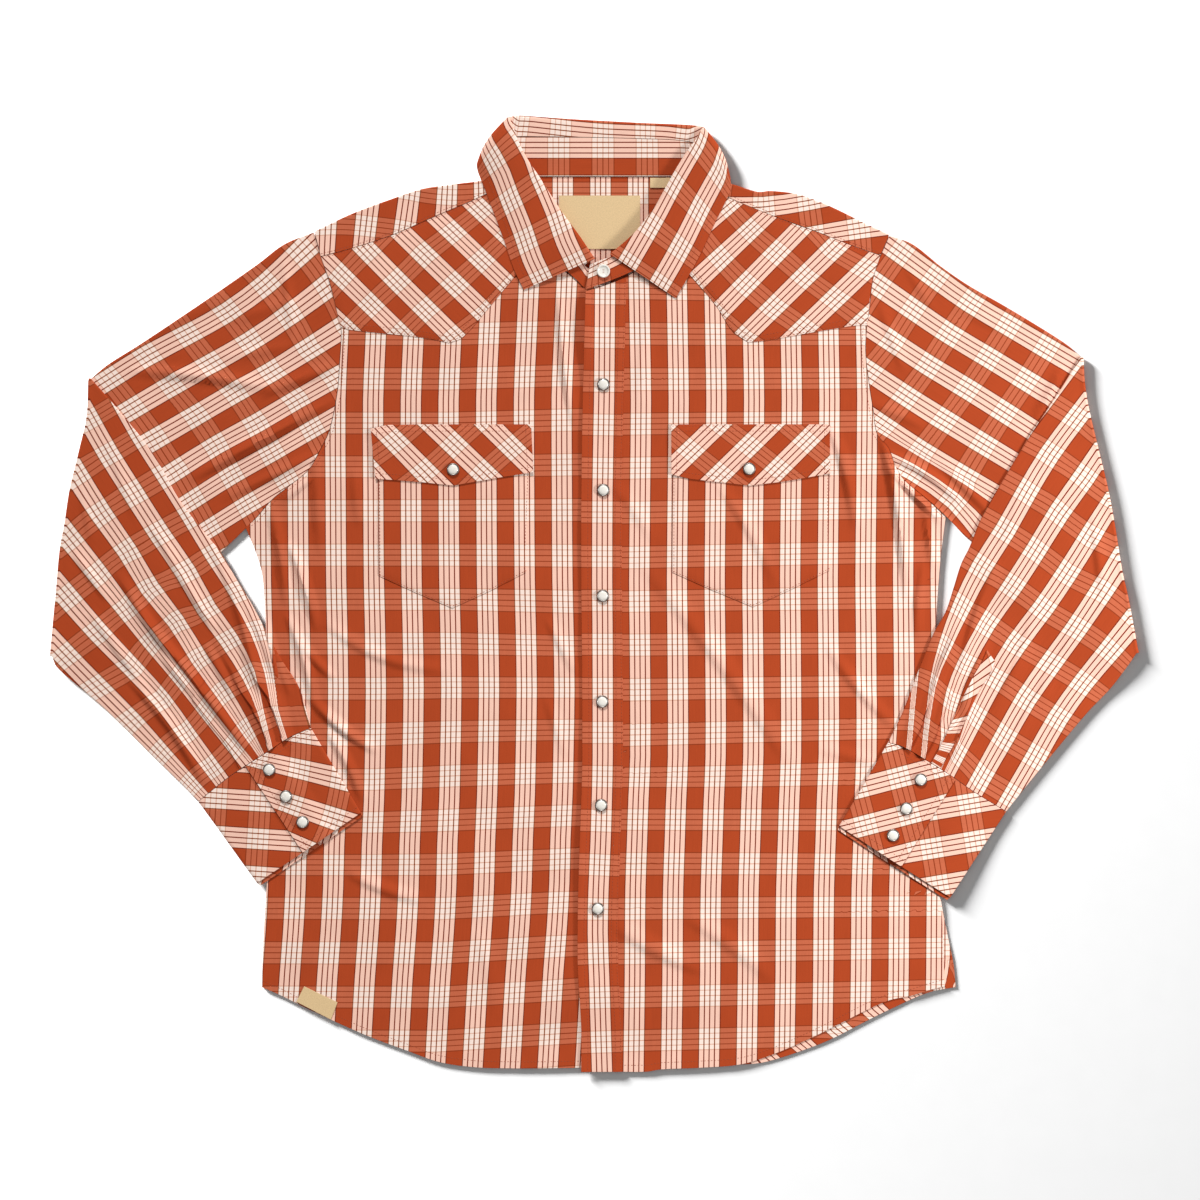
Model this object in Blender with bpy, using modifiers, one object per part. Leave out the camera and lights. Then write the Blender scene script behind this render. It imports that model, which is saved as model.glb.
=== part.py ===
"""Western snap shirt, size XL, laid flat on its back with both sleeves folded inwards.

Each piece that a maker would cut is one closed solid: a sheet of cloth or a flattened tube of cloth, shaped
from the edges of its pattern and laid in layers on the table.  Plan places are in millimetres on the table:
x runs to the wearer's left, y to the collar, and z is the height over the table.  The origin is under the
middle of the shirt.  "left" and "right" in names are the wearer's.
"""
import bmesh
import bpy
from math import cos, hypot, pi, radians, sin
from mathutils import Vector

for leftover in list(bpy.data.objects):
    bpy.data.objects.remove(leftover)

MM = 0.001

# Driving dimensions, mm
WALL = 1.0  # one ply of cloth, built stout
STIFF_WALL = 1.2  # cuffs, collar and stand, which hold an interlining
GAP = 0.3  # between pieces that lie on or next to each other
LOFT = 1.5  # air under the front in the middle of the shirt
LOFT_RUN = 75.0  # from a folded edge to the full loft
DROOP_START, DROOP_RUN = 6.0, 48.0  # where cloth that leaves its support sinks to the table
REST_GAP = 0.4  # under a forearm or cuff
BAND_WIDTH = 36.5
LAP_UNDER = 28.0  # the right front reaches this far under the band
SNAP_RADIUS, SNAP_HEIGHT = 5.7, 2.6
CUFF_PEEK = 3.5  # the under side of a cuff shows this much past its upper side
PLEAT_HEIGHT = 1.6  # of a sleeve's pleats at the cuff
SLEEVE_AIR = 1.0  # between the plies half way down a forearm
TAG_WALL = 0.8

BACK_MID = WALL / 2  # middle of the ply that rests on the table
FRONT_MID = WALL + GAP + WALL / 2  # middle of the front's ply, without loft
FRONT_TOP = FRONT_MID + WALL / 2
OVER_MID = FRONT_TOP + GAP + WALL / 2  # middle of a ply that lies on the front
OVER_TOP = OVER_MID + WALL / 2
SECOND_MID = OVER_TOP + GAP + WALL / 2  # middle of a ply on top of that

PLAN_MIDDLE = Vector((-0.2, -0.95, 0))  # middle of the shirt's box in the plan places below

# Edges of the shirt as it lies, each a list of (x, y) places, mm
RIGHT_ARMHOLE = [(-252, 324), (-246, 303), (-238, 279), (-230, 248), (-227.5, 236), (-229, 205), (-231, 180),
                 (-238, 146), (-247, 127), (-256, 111), (-275, 95), (-289, 84), (-306, 65), (-314, 59)]
LEFT_ARMHOLE = [(265, 321), (257, 303), (250, 281), (247, 256), (244.5, 238), (243.5, 216), (247, 185),
                (250, 166), (254, 142), (264, 130), (270, 114), (278, 101), (301, 82), (316, 69)]
RIGHT_SIDE = [(-314, 59), (-305, 37), (-299, 17), (-297, -5), (-295.5, -30), (-293, -100), (-292, -180),
              (-294.5, -257), (-296.5, -290), (-298.5, -330), (-299, -355)]
LEFT_SIDE = [(316, 69), (314, 54), (311, 28), (308, -11), (307, -37), (306, -100), (307, -180), (310, -265),
             (312.5, -292), (315, -354)]
LEFT_SIDE_BACK = [(316, 69), (314, 54), (311, 28), (308, -11), (307, -37), (306, -100), (307, -180),
                  (311, -270), (318, -310), (323, -334), (325, -355)]
RIGHT_SHOULDER = [(-252, 325), (-218, 341), (-183, 354), (-156, 363), (-122, 368), (-106, 370), (-88, 374)]
LEFT_SHOULDER = [(102, 371.5), (124, 367.5), (147, 360.5), (158, 361.5), (185, 358), (210, 348.5), (246, 331),
                 (265, 322)]
RIGHT_YOKE_SEAM = [(-246, 302), (-216, 310), (-180, 322), (-146, 337), (-113, 351), (-91, 361)]
LEFT_YOKE_SEAM = [(105, 362), (132, 350), (163, 337.5), (195, 326), (231, 312), (257, 303)]
RIGHT_SLEEVE_TOP = [(-252, 325), (-279, 313), (-303, 295), (-355.5, 258.5), (-409.5, 222.5), (-438, 204.5), (-455.5, 192.5)]
RIGHT_SLEEVE_UNDER = [(-314, 59), (-337, 36), (-380, 8), (-490, -57)]
RIGHT_ELBOW_FOLD = [(-455.5, 192.5), (-457, 159), (-464, 127), (-472, 94), (-477, 62), (-481, 40), (-485, -3),
                    (-488, -35), (-490, -57)]
LEFT_SLEEVE_TOP = [(265, 322), (286, 313), (309.5, 294.5), (335.5, 276.5), (367, 258.5), (397, 240.5), (425, 222.5), (440, 212)]
LEFT_SLEEVE_UNDER = [(316, 69), (338, 47), (380, 20), (489.5, -54)]
LEFT_ELBOW_FOLD = [(440, 212), (441, 192), (444, 170), (454, 127), (462, 94), (468, 62), (475, 19), (480, -3),
                   (486, -35), (489.5, -54)]
# Forearms: the edge next to the body, and the outer edge, from the elbow to the cuff
RIGHT_FOREARM_INNER = [(-455.5, 192.5), (-429, 165), (-397, 125), (-373, 83), (-351, 54), (-337, 37), (-324, 15),
                       (-311, -6), (-299, -28), (-283, -58), (-265.5, -86), (-255, -122)]
RIGHT_FOREARM_OUTER = [(-490, -57), (-483, -67), (-461, -86.5), (-436.5, -108), (-393, -151), (-370.5, -173), (-356, -188)]
LEFT_FOREARM_INNER = [(440, 212), (417, 179), (390, 138), (365, 97), (348, 67), (337, 40), (330, 26), (323, 4),
                      (316, -17), (305, -37), (293, -66), (277, -108), (264, -135)]
LEFT_FOREARM_OUTER = [(489.5, -54), (479, -66), (463.5, -86.5), (443, -108), (407, -151), (389, -173), (370, -197)]
RIGHT_CUFF_SEAM = [(-255, -122), (-274, -130.5), (-293, -143), (-327, -165), (-356, -188)]
LEFT_CUFF_SEAM = [(264, -135), (277, -139), (298, -151), (319, -164), (342, -180), (370, -197)]
RIGHT_CUFF_HEM = [(-210, -198), (-256, -229.5), (-303, -261)]
LEFT_CUFF_HEM = [(220, -210), (269, -242), (319.5, -274)]
BAND_EDGE = [(-8, 270.5), (-11, 150), (-12, 47), (-11, -147), (-13.5, -232), (-15, -285), (-15, -337),
             (-12, -390), (-12, -431)]
BACK_YOKE_POINT = [(-150, 236), (-70, 218), (8, 190), (86, 218), (165, 236)]
FRONT_HEM_RIGHT = [(-299, -355), (-283, -362), (-261, -373), (-230, -387.5), (-200, -400.5), (-169, -412), (-139, -422.5),
                   (-108, -427), (-77, -428), (-47, -428), (16, -427)]
FRONT_HEM_LEFT = [(16.5, -431), (47, -431), (59, -429), (94, -427.5), (131, -424.5), (159, -416), (194, -401),
                  (228, -384), (248, -374), (266, -366.5), (284, -363), (300, -358), (315, -354)]
BACK_HEM = [(-299, -355), (-283, -360), (-238, -381), (-185, -403), (-115, -422), (0, -425), (100, -425), (144, -424),
            (163, -420), (197, -408.5), (217, -400), (238, -389), (266, -375), (300, -360), (325, -355)]

# Collar stations from the right front end round the back to the left front end, mm: seam of the stand to the
# body, seam of the collar to the stand and their heights; then roll and outer edge of the collar, their heights,
# and how far its outer face has turned from the table (-90) over the side (0) to face up (90).
# The loft is added to each height.  The stand's two front ends carry no collar.
COLLAR_STATIONS = [
    # body seam       collar seam     heights    roll           outer edge       heights    facing
    ((16, 281.5), (14, 296), 3.1, 3.2, None, None, 0, 0, 0),
    ((-8, 274), (-4.5, 291.5), 3.1, 3.4, None, None, 0, 0, 0),
    ((-14, 279), (-9, 294), 3.2, 3.9, (0, 299.5), (-63.5, 272), 7.4, 4.8, 90),
    ((-40, 302), (-22, 313), 3.4, 5.8, (-14.5, 321), (-72.5, 291), 8.4, 4.8, 90),
    ((-66, 322), (-43, 332.5), 4.5, 6.5, (-30, 342), (-81, 316), 8.7, 4.8, 90),
    ((-81, 344), (-63, 364.5), 4.5, 6.6, (-50.5, 374), (-91.5, 344), 8.7, 4.8, 90),
    ((-87.5, 361), (-71.5, 381), 4.5, 6.6, (-60.5, 389), (-99, 364), 8.7, 4.9, 80),
    ((-86.5, 369), (-76, 396), 4.5, 6.6, (-69.5, 407), (-104, 376), 8.4, 4.9, 60),
    ((-85.3, 376.2), (-78.7, 406.7), 4.3, 6.5, (-74.5, 421), (-105.5, 382), 7.6, 4.6, 35),
    ((-86.6, 376.5), (-80, 407), 3.0, 5.2, (-77.5, 426.5), (-105, 387), 5.6, 3.2, 0),
    ((-85.3, 376.2), (-78.7, 406.7), 1.9, 3.9, (-74.5, 427.6), (-103, 388.5), 3.6, 1.4, -60),
    ((-74, 374.8), (-70, 409.3), 1.9, 3.9, (-67, 428.5), (-80, 388), 3.2, 0.7, -90),
    ((-54, 374.5), (-54, 409.5), 1.9, 3.8, (-52, 427.5), (-62, 386), 3.2, 0.7, -90),
    ((-20, 374.5), (-20, 409), 1.9, 3.8, (-20, 425.2), (-24, 384), 3.2, 0.7, -90),
    ((11, 374.5), (11, 408.5), 1.9, 3.8, (11, 423.5), (11, 383), 3.2, 0.7, -90),
    ((45, 374.5), (45, 407.5), 1.9, 3.8, (45, 421.7), (49, 381), 3.2, 0.7, -90),
    ((68, 374.5), (67, 406.8), 1.9, 3.8, (68, 420.8), (76, 381), 3.2, 0.7, -90),
    ((86, 374.3), (83, 405.2), 1.9, 3.9, (85, 420), (97, 382.5), 3.2, 0.7, -90),
    ((99.3, 373.2), (95.7, 402.3), 1.9, 3.9, (95.5, 418.7), (117, 379), 3.6, 1.4, -60),
    ((100.6, 373.4), (97, 402.5), 3.0, 5.2, (98, 417.5), (121, 375.5), 5.6, 3.2, 0),
    ((99.3, 373.2), (95.7, 402.3), 4.3, 6.5, (95.5, 414), (122, 370), 7.6, 4.6, 35),
    ((100, 365), (93.5, 393.5), 4.5, 6.6, (91, 406), (122.5, 363), 8.4, 4.9, 60),
    ((101, 355), (88, 383.5), 4.5, 6.6, (82, 394), (117.5, 351), 8.7, 4.9, 80),
    ((94, 341), (77.5, 365), 4.5, 6.6, (70.5, 375), (109, 334), 8.7, 4.8, 90),
    ((78, 318.5), (60.5, 335.5), 4.5, 6.5, (53.5, 345), (97, 308), 8.7, 4.8, 90),
    ((51, 297.5), (40.5, 312), 4.5, 6.0, (34.5, 321), (85.5, 286), 8.4, 4.8, 90),
    ((27, 285.5), (20, 302.5), 4.7, 5.2, (14, 303.7), (73, 264.5), 7.4, 4.8, 90),
    ((11, 279), (8.5, 299.5), 4.9, 5.0, None, None, 0, 0, 0),
    ((-7.5, 272.5), (-4, 294.5), 4.9, 5.0, None, None, 0, 0, 0),
]
COLLAR_SEAM = 0.6  # between collar and stand
COLLAR_ROLL = 1.1  # radius of the roll
COLLAR_SWELL, COLLAR_SIDE_SWELL = 1.2, 3.0  # how far the fall bows out, and how much more at the neck's two sides

# Middles of the snaps and the button, mm
BAND_SNAPS = [(8, 187), (8, 92), (7.5, -3), (7, -98), (6, -191), (3, -284)]
FLAP_SNAPS = [("right", -127, 110.5), ("left", 139, 111)]
CUFF_SNAPS = {"right": [(-292, -159), (-277, -183), (-262, -206)], "left": [(293, -168), (280, -194), (268, -218)]}
NECK_BUTTON = (8, 288.5)


def smooth(value):
    """Ease from 0 to 1 as the value goes from 0 to 1."""
    value = min(1.0, max(0.0, value))
    return value * value * (3 - 2 * value)


def along(points, share):
    """The place at a share of a curve's length, on a smooth curve through the points."""
    lengths = [hypot(b[0] - a[0], b[1] - a[1]) for a, b in zip(points, points[1:])]
    travel = min(1.0, max(0.0, share)) * sum(lengths)
    index = 0
    while index < len(lengths) - 1 and travel > lengths[index]:
        travel -= lengths[index]
        index += 1
    t = travel / lengths[index]
    b, c = points[index], points[index + 1]
    a = points[index - 1] if index else (2 * b[0] - c[0], 2 * b[1] - c[1])
    d = points[index + 2] if index + 2 < len(points) else (2 * c[0] - b[0], 2 * c[1] - b[1])
    chord = lengths[index]
    before = hypot(b[0] - a[0], b[1] - a[1])
    after = hypot(d[0] - c[0], d[1] - c[1])
    place = []
    for i in (0, 1):
        leave = (c[i] - a[i]) * chord / (before + chord)
        reach = (d[i] - b[i]) * chord / (chord + after)
        place.append((2 * t**3 - 3 * t**2 + 1) * b[i] + (t**3 - 2 * t**2 + t) * leave
                     + (3 * t**2 - 2 * t**3) * c[i] + (t**3 - t**2) * reach)
    return tuple(place)


def stations(points, count):
    """Places at even lengths along a curve, one more than the count of steps."""
    return [along(points, k / count) for k in range(count + 1)]


def between(a, b, share):
    """The place at a share of the way from a to b, in as many axes as they have."""
    return tuple(p + (q - p) * share for p, q in zip(a, b))


def shifted(points, distance):
    """A curve moved to the left of its own direction."""
    moved = []
    for k, point in enumerate(points):
        before, after = points[max(0, k - 1)], points[min(len(points) - 1, k + 1)]
        run, rise = after[0] - before[0], after[1] - before[1]
        size = hypot(run, rise)
        moved.append((point[0] - rise / size * distance, point[1] + run / size * distance))
    return moved


# The silhouette of all that rests on the table: body and upper sleeves
TABLE_OUTLINE = (RIGHT_SHOULDER[::-1] + RIGHT_SLEEVE_TOP[1:] + RIGHT_ELBOW_FOLD[1:] + RIGHT_SLEEVE_UNDER[-2:0:-1]
                 + RIGHT_SIDE + FRONT_HEM_RIGHT[1:] + FRONT_HEM_LEFT + LEFT_SIDE[-2::-1] + LEFT_SLEEVE_UNDER[1:]
                 + LEFT_ELBOW_FOLD[-2::-1] + LEFT_SLEEVE_TOP[-2::-1] + LEFT_SHOULDER[-2::-1])


def inside_distance(x, y):
    """Distance in from the silhouette of body and upper sleeves, below zero outside it, mm."""
    nearest = 1e9
    inside = False
    for (ax, ay), (bx, by) in zip(TABLE_OUTLINE, TABLE_OUTLINE[1:] + TABLE_OUTLINE[:1]):
        dx, dy = bx - ax, by - ay
        size = dx * dx + dy * dy
        t = min(1.0, max(0.0, ((x - ax) * dx + (y - ay) * dy) / size)) if size else 0.0
        nearest = min(nearest, hypot(ax + t * dx - x, ay + t * dy - y))
        if (ay > y) != (by > y) and x < ax + (y - ay) * dx / dy:
            inside = not inside
    return nearest if inside else -nearest


def loft(x, y):
    """Air under the upper ply: none at the folded edges and seams, full well inside them."""
    return LOFT * smooth((inside_distance(x, y) - 3.0) / LOFT_RUN)


def support(x, y):
    """Top of what a forearm or cuff lies on: the front, the upper sleeve, or off their edge the table."""
    distance = inside_distance(x, y)
    if distance >= 0:
        return FRONT_TOP + loft(x, y)
    return FRONT_TOP * (1 - smooth((-distance - DROOP_START) / DROOP_RUN))


def patch(left, right, top, bottom):
    """Plan places of a pattern piece, row by row, filled in between its four edges."""
    rows, columns = len(left) - 1, len(top) - 1
    left_steps = [hypot(b[0] - a[0], b[1] - a[1]) for a, b in zip(left, left[1:])]
    top_steps = [hypot(b[0] - a[0], b[1] - a[1]) for a, b in zip(top, top[1:])]
    down = [sum(left_steps[:k]) / sum(left_steps) for k in range(rows + 1)]
    over = [sum(top_steps[:k]) / sum(top_steps) for k in range(columns + 1)]
    grid = []
    for k in range(rows + 1):
        row = []
        for i in range(columns + 1):
            u, v = over[i], down[k]
            row.append(tuple(
                (1 - u) * left[k][a] + u * right[k][a] + (1 - v) * top[i][a] + v * bottom[i][a]
                - (1 - u) * (1 - v) * top[0][a] - u * (1 - v) * top[-1][a]
                - (1 - u) * v * bottom[0][a] - u * v * bottom[-1][a] for a in (0, 1)))
        grid.append(row)
    return grid


def raised(grid, height):
    """Places in plan given their height by a function of x and y."""
    return [[(x, y, height(x, y)) for x, y in row] for row in grid]


shirt = bpy.data.collections.new("western_snap_shirt")
bpy.context.scene.collection.children.link(shirt)


def finish(name, colour, roughness, metallic=0.0):
    """A Principled material from an sRGB hex colour."""
    material = bpy.data.materials.new(name)
    material.use_nodes = True
    shader = material.node_tree.nodes["Principled BSDF"]
    channels = [int(colour[k:k + 2], 16) / 255 for k in (0, 2, 4)]
    linear = [c / 12.92 if c <= 0.04045 else ((c + 0.055) / 1.055) ** 2.4 for c in channels]
    shader.inputs["Base Color"].default_value = (*linear, 1.0)
    shader.inputs["Roughness"].default_value = roughness
    shader.inputs["Metallic"].default_value = metallic
    material.diffuse_color = (*linear, 1.0)
    return material


def keep(name, mesh, material):
    """Put a mesh in the shirt as its own object."""
    mesh.materials.append(material)
    for polygon in mesh.polygons:
        polygon.use_smooth = True
    piece = bpy.data.objects.new(name, mesh)
    shirt.objects.link(piece)
    return piece


def sheet(name, grid, material, wall=WALL, without=None, closed=False):
    """A piece of cloth: a grid moved onto its places (x, y, z), with the wall to both sides of them.

    without(row, column) leaves a cell out, and closed joins the last column to the first, as round a sleeve.
    """
    rows, columns = len(grid) - 1, len(grid[0]) - 1
    bm = bmesh.new()
    bmesh.ops.create_grid(bm, x_segments=columns, y_segments=rows, size=0.5)
    cell = {}
    for vert in bm.verts:
        column, row = round((vert.co.x + 0.5) * columns), round((vert.co.y + 0.5) * rows)
        cell[vert] = (row, column)
        vert.co = (Vector(grid[row][column]) - PLAN_MIDDLE) * MM
    if without:
        corner = {face: (min(cell[v][0] for v in face.verts), min(cell[v][1] for v in face.verts))
                  for face in bm.faces}
        bmesh.ops.delete(bm, geom=[f for f in bm.faces if without(*corner[f])], context="FACES")
    if closed:
        bmesh.ops.remove_doubles(bm, verts=bm.verts, dist=0.02 * MM)
    mesh = bpy.data.meshes.new(name)
    bm.to_mesh(mesh)
    bm.free()
    piece = keep(name, mesh, material)
    ply = piece.modifiers.new("ply", "SOLIDIFY")
    ply.thickness = wall * MM
    ply.offset = 0.0
    return piece


def shares(points):
    """How far along a run of places each one is, from 0 to 1."""
    steps = [hypot(b[0] - a[0], b[1] - a[1]) for a, b in zip(points, points[1:])]
    return [sum(steps[:k]) / sum(steps) for k in range(len(points))]


def matching(points, pattern):
    """Places along a curve at the same shares of its length as the pattern's own places."""
    return [along(points, share) for share in shares(pattern)]


rust_cloth = finish("cotton_check", "B8451F", 0.85)
pale_cloth = finish("cotton_check_bias", "D98A68", 0.85)
tag_cloth = finish("woven_tag", "DDBE8E", 0.8)
pearl = finish("pearl_snap", "E9E4DA", 0.3)

ARM_STEPS, SIDE_STEPS, PANEL_STEPS = 9, 8, 10
YOKE_ARM_STEPS = 3  # armhole steps that the back yoke takes
right_arm = stations(RIGHT_ARMHOLE, ARM_STEPS)
left_arm = stations(LEFT_ARMHOLE, ARM_STEPS)


def front(name, arm, side, centre, shoulder, neckline, hem):
    """One front: from under the shoulder strip to the hem, and from the armhole and side to the centre."""
    outer = [between(arm[0], arm[1], 0.4)] + arm[1:] + stations(side, SIDE_STEPS)[1:]
    top = stations(shoulder, 6) + stations(neckline, PANEL_STEPS - 6)[1:]
    grid = patch(outer, matching(centre, outer), top, matching(hem, top))
    sheet(name, raised(grid, lambda x, y: FRONT_MID + loft(x, y)), rust_cloth)


band_under = [(x + LAP_UNDER, y) for x, y in BAND_EDGE]
front("front_right", right_arm, RIGHT_SIDE, [(18, 274)] + band_under[1:-1] + [(16, -427)],
      [between(right_arm[0], right_arm[1], 0.4), (-219, 317.5), (-183, 329.5), (-149, 344), (-116, 358), (-90, 369)],
      [(-90, 369), (-82, 350), (-68, 329), (-45, 306), (-20, 284), (18, 274)], FRONT_HEM_RIGHT)
front("front_left", left_arm, LEFT_SIDE, [(19, 278)] + [(x + 0.5, y) for x, y in band_under[1:-1]] + [(16.5, -431)],
      [between(left_arm[0], left_arm[1], 0.4), (228, 319.5), (192, 333.5), (160, 345), (129, 357.5), (104, 369)],
      [(104, 369), (97, 350), (85, 331), (66, 309), (45, 294), (19, 278)], FRONT_HEM_LEFT[::-1])

# Back yoke and back panel lie flat on the table; the yoke's two shoulders turn over the top of the shirt
# and end at the front yokes' seams
SHOULDER_STEPS, NECK_STEPS = 8, 5
SHOULDER_TURN = (OVER_MID - BACK_MID) / 2
SHOULDER_INSET = SHOULDER_TURN + WALL / 2  # of the fold's own middle from the silhouette
NECK_ENDS = [(-84, 373.9), (97, 373.9)]

shoulders = [stations(RIGHT_SHOULDER, SHOULDER_STEPS), stations(LEFT_SHOULDER, SHOULDER_STEPS)]
shoulder_folds = [shifted(places, -SHOULDER_INSET) for places in shoulders]
neck_places = [between(*NECK_ENDS, k / NECK_STEPS) for k in range(1, NECK_STEPS)]
yoke_far = shoulder_folds[0] + neck_places + shoulder_folds[1]
yoke_near = matching([right_arm[YOKE_ARM_STEPS]] + BACK_YOKE_POINT + [left_arm[YOKE_ARM_STEPS]], yoke_far)
yoke_flat = patch(right_arm[YOKE_ARM_STEPS::-1][:-1] + [yoke_far[0]],
                  left_arm[YOKE_ARM_STEPS::-1][:-1] + [yoke_far[-1]], yoke_near, yoke_far)
yoke_rows = raised(yoke_flat, lambda x, y: BACK_MID)
for angle in (60, 120, 180):
    reach, rise = SHOULDER_TURN * sin(radians(angle)), SHOULDER_TURN * (1 - cos(radians(angle)))
    turned_edge = shifted(shoulder_folds[0], reach) + neck_places + shifted(shoulder_folds[1], reach)
    yoke_rows.append([(x, y, BACK_MID + rise) for x, y in turned_edge])
seam_places = (shifted(stations(RIGHT_YOKE_SEAM, SHOULDER_STEPS), GAP) + neck_places
               + shifted(stations(LEFT_YOKE_SEAM, SHOULDER_STEPS), GAP))
for share in (0.5, 1.0):
    strip = [between(a, b, share) for a, b in zip(yoke_far, seam_places)]
    yoke_rows += raised([strip], lambda x, y: OVER_MID + loft(x, y))
sheet("back_yoke", yoke_rows, pale_cloth, without=lambda row, column: (
    row >= len(yoke_flat) - 1 and SHOULDER_STEPS <= column < SHOULDER_STEPS + NECK_STEPS))

back_top = shifted(yoke_near, -GAP)
back_right = [back_top[0]] + right_arm[YOKE_ARM_STEPS + 1:] + stations(RIGHT_SIDE, SIDE_STEPS)[1:]
back_left = [back_top[-1]] + left_arm[YOKE_ARM_STEPS + 1:] + stations(LEFT_SIDE_BACK, SIDE_STEPS)[1:]
sheet("back", raised(patch(back_right, back_left, back_top, matching(BACK_HEM, back_top)),
                     lambda x, y: BACK_MID), rust_cloth)

# Front yokes, cut on the bias and sewn on over the fronts
YOKE_STEPS = 3
right_yoke_top = stations(RIGHT_YOKE_SEAM, SHOULDER_STEPS)
right_yoke_hem = (stations([(-228, 238.5), (-219, 236), (-154, 229), (-131, 224.5)], 4)
                  + stations([(-131, 224.5), (-119, 229), (-95, 256), (-72, 283.5), (-52, 304)], 4)[1:])
left_yoke_top = stations(LEFT_YOKE_SEAM, SHOULDER_STEPS)
left_yoke_hem = (stations([(68, 306), (87, 284), (110, 257), (124, 235), (138, 225)], 4)
                 + stations([(138, 225), (151, 226), (203, 235), (235, 240), (245, 240)], 4)[1:])
sheet("yoke_right", raised(patch(
    stations([right_yoke_top[0], (-238, 279), right_yoke_hem[0]], YOKE_STEPS),
    stations([right_yoke_top[-1], (-84, 347), (-70, 326), right_yoke_hem[-1]], YOKE_STEPS),
    right_yoke_top, right_yoke_hem), lambda x, y: OVER_MID + loft(x, y)), pale_cloth)
sheet("yoke_left", raised(patch(
    stations([left_yoke_top[0], (98, 347), (86, 328), left_yoke_hem[0]], YOKE_STEPS),
    stations([left_yoke_top[-1], (250, 281), left_yoke_hem[-1]], YOKE_STEPS),
    left_yoke_top, left_yoke_hem), lambda x, y: OVER_MID + loft(x, y)), pale_cloth)

# Band of the snap front, sewn to the left front and lying over the right one
band_left = stations(BAND_EDGE, 16)
band_right = [(x + BAND_WIDTH, y) for x, y in band_left]
band_right[0] = (28.5, 283.5)
sheet("front_band", raised(patch(band_left, band_right, [band_left[0], (11, 276.5), band_right[0]],
                                 [band_left[-1], (6, -431), band_right[-1]]),
                           lambda x, y: OVER_MID + loft(x, y)), rust_cloth)


def flat_piece(name, top, bottom, height, material, wall=WALL, steps=3):
    """A piece with straight sides that lies on a panel."""
    sides = [[between(top[i], bottom[i], k / steps) for k in range(steps + 1)] for i in (0, -1)]
    return sheet(name, raised(patch(*sides, top, bottom), height), material, wall)


flat_piece("pocket_right", [(-195, 140), (-161, 140), (-127, 140), (-92, 140), (-57, 140)],
           [(-194, 15), (-161, 0), (-128, -14), (-95, 1), (-62, 18)], lambda x, y: OVER_MID + loft(x, y),
           rust_cloth)
flat_piece("pocket_left", [(70, 140), (105, 140), (140, 140), (175, 140), (211, 140)],
           [(70, 18), (106, 2), (142, -13), (177, 3), (211, 20)], lambda x, y: OVER_MID + loft(x, y), rust_cloth)
flat_piece("flap_right", [(-201, 147), (-186, 150.5), (-158, 151), (-127, 151), (-92, 151), (-57, 151)],
           [(-197, 102), (-180, 101), (-155, 99), (-127, 96), (-87, 103), (-55, 108)],
           lambda x, y: SECOND_MID + loft(x, y), pale_cloth)
flat_piece("flap_left", [(69, 151), (100, 151), (139, 151), (170, 151), (190, 151), (211.5, 151)],
           [(69, 106), (86, 102), (139, 96), (165, 99), (190, 103), (211.5, 107)],
           lambda x, y: SECOND_MID + loft(x, y), pale_cloth)

FOLD_ANGLES = (45, 90, 135, 180)
ELBOW_RADIUS = 0.9  # of the inner ply where a sleeve turns over itself
UPPER_STEPS, FOREARM_STEPS = 8, 10
PLY_TURN = (FRONT_MID - BACK_MID) / 2  # half the height between a sleeve's two plies at its edges
SLEEVE_SEAM, PIT_RELIEF = 0.5, 0.08  # from the armhole, mm, and a share of the under edge left open at the pit
GAUNTLET_GAP = 0.45


def with_folds(rows, inwards):
    """Rows across a flat sleeve as (edge, places), with the outermost places drawn in to start the folds."""
    first = shifted([row[0] for row in rows], -PLY_TURN * inwards)
    last = shifted([row[-1] for row in rows], PLY_TURN * inwards)
    return [((row[0], row[-1]), [a] + list(row[1:-1]) + [b]) for row, a, b in zip(rows, first, last)]


def round_sleeve(edges, places, near_height, far_height):
    """One ring of a flattened sleeve: across on the near ply, and back on the far one."""
    near = [(x, y, near_height(i, x, y)) for i, (x, y) in enumerate(places)]
    far = [(x, y, far_height(i, x, y)) for i, (x, y) in enumerate(places)]
    first = (*edges[0], (near[0][2] + far[0][2]) / 2)
    last = (*edges[1], (near[-1][2] + far[-1][2]) / 2)
    return [first] + near + [last] + far[::-1] + [first]


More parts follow.
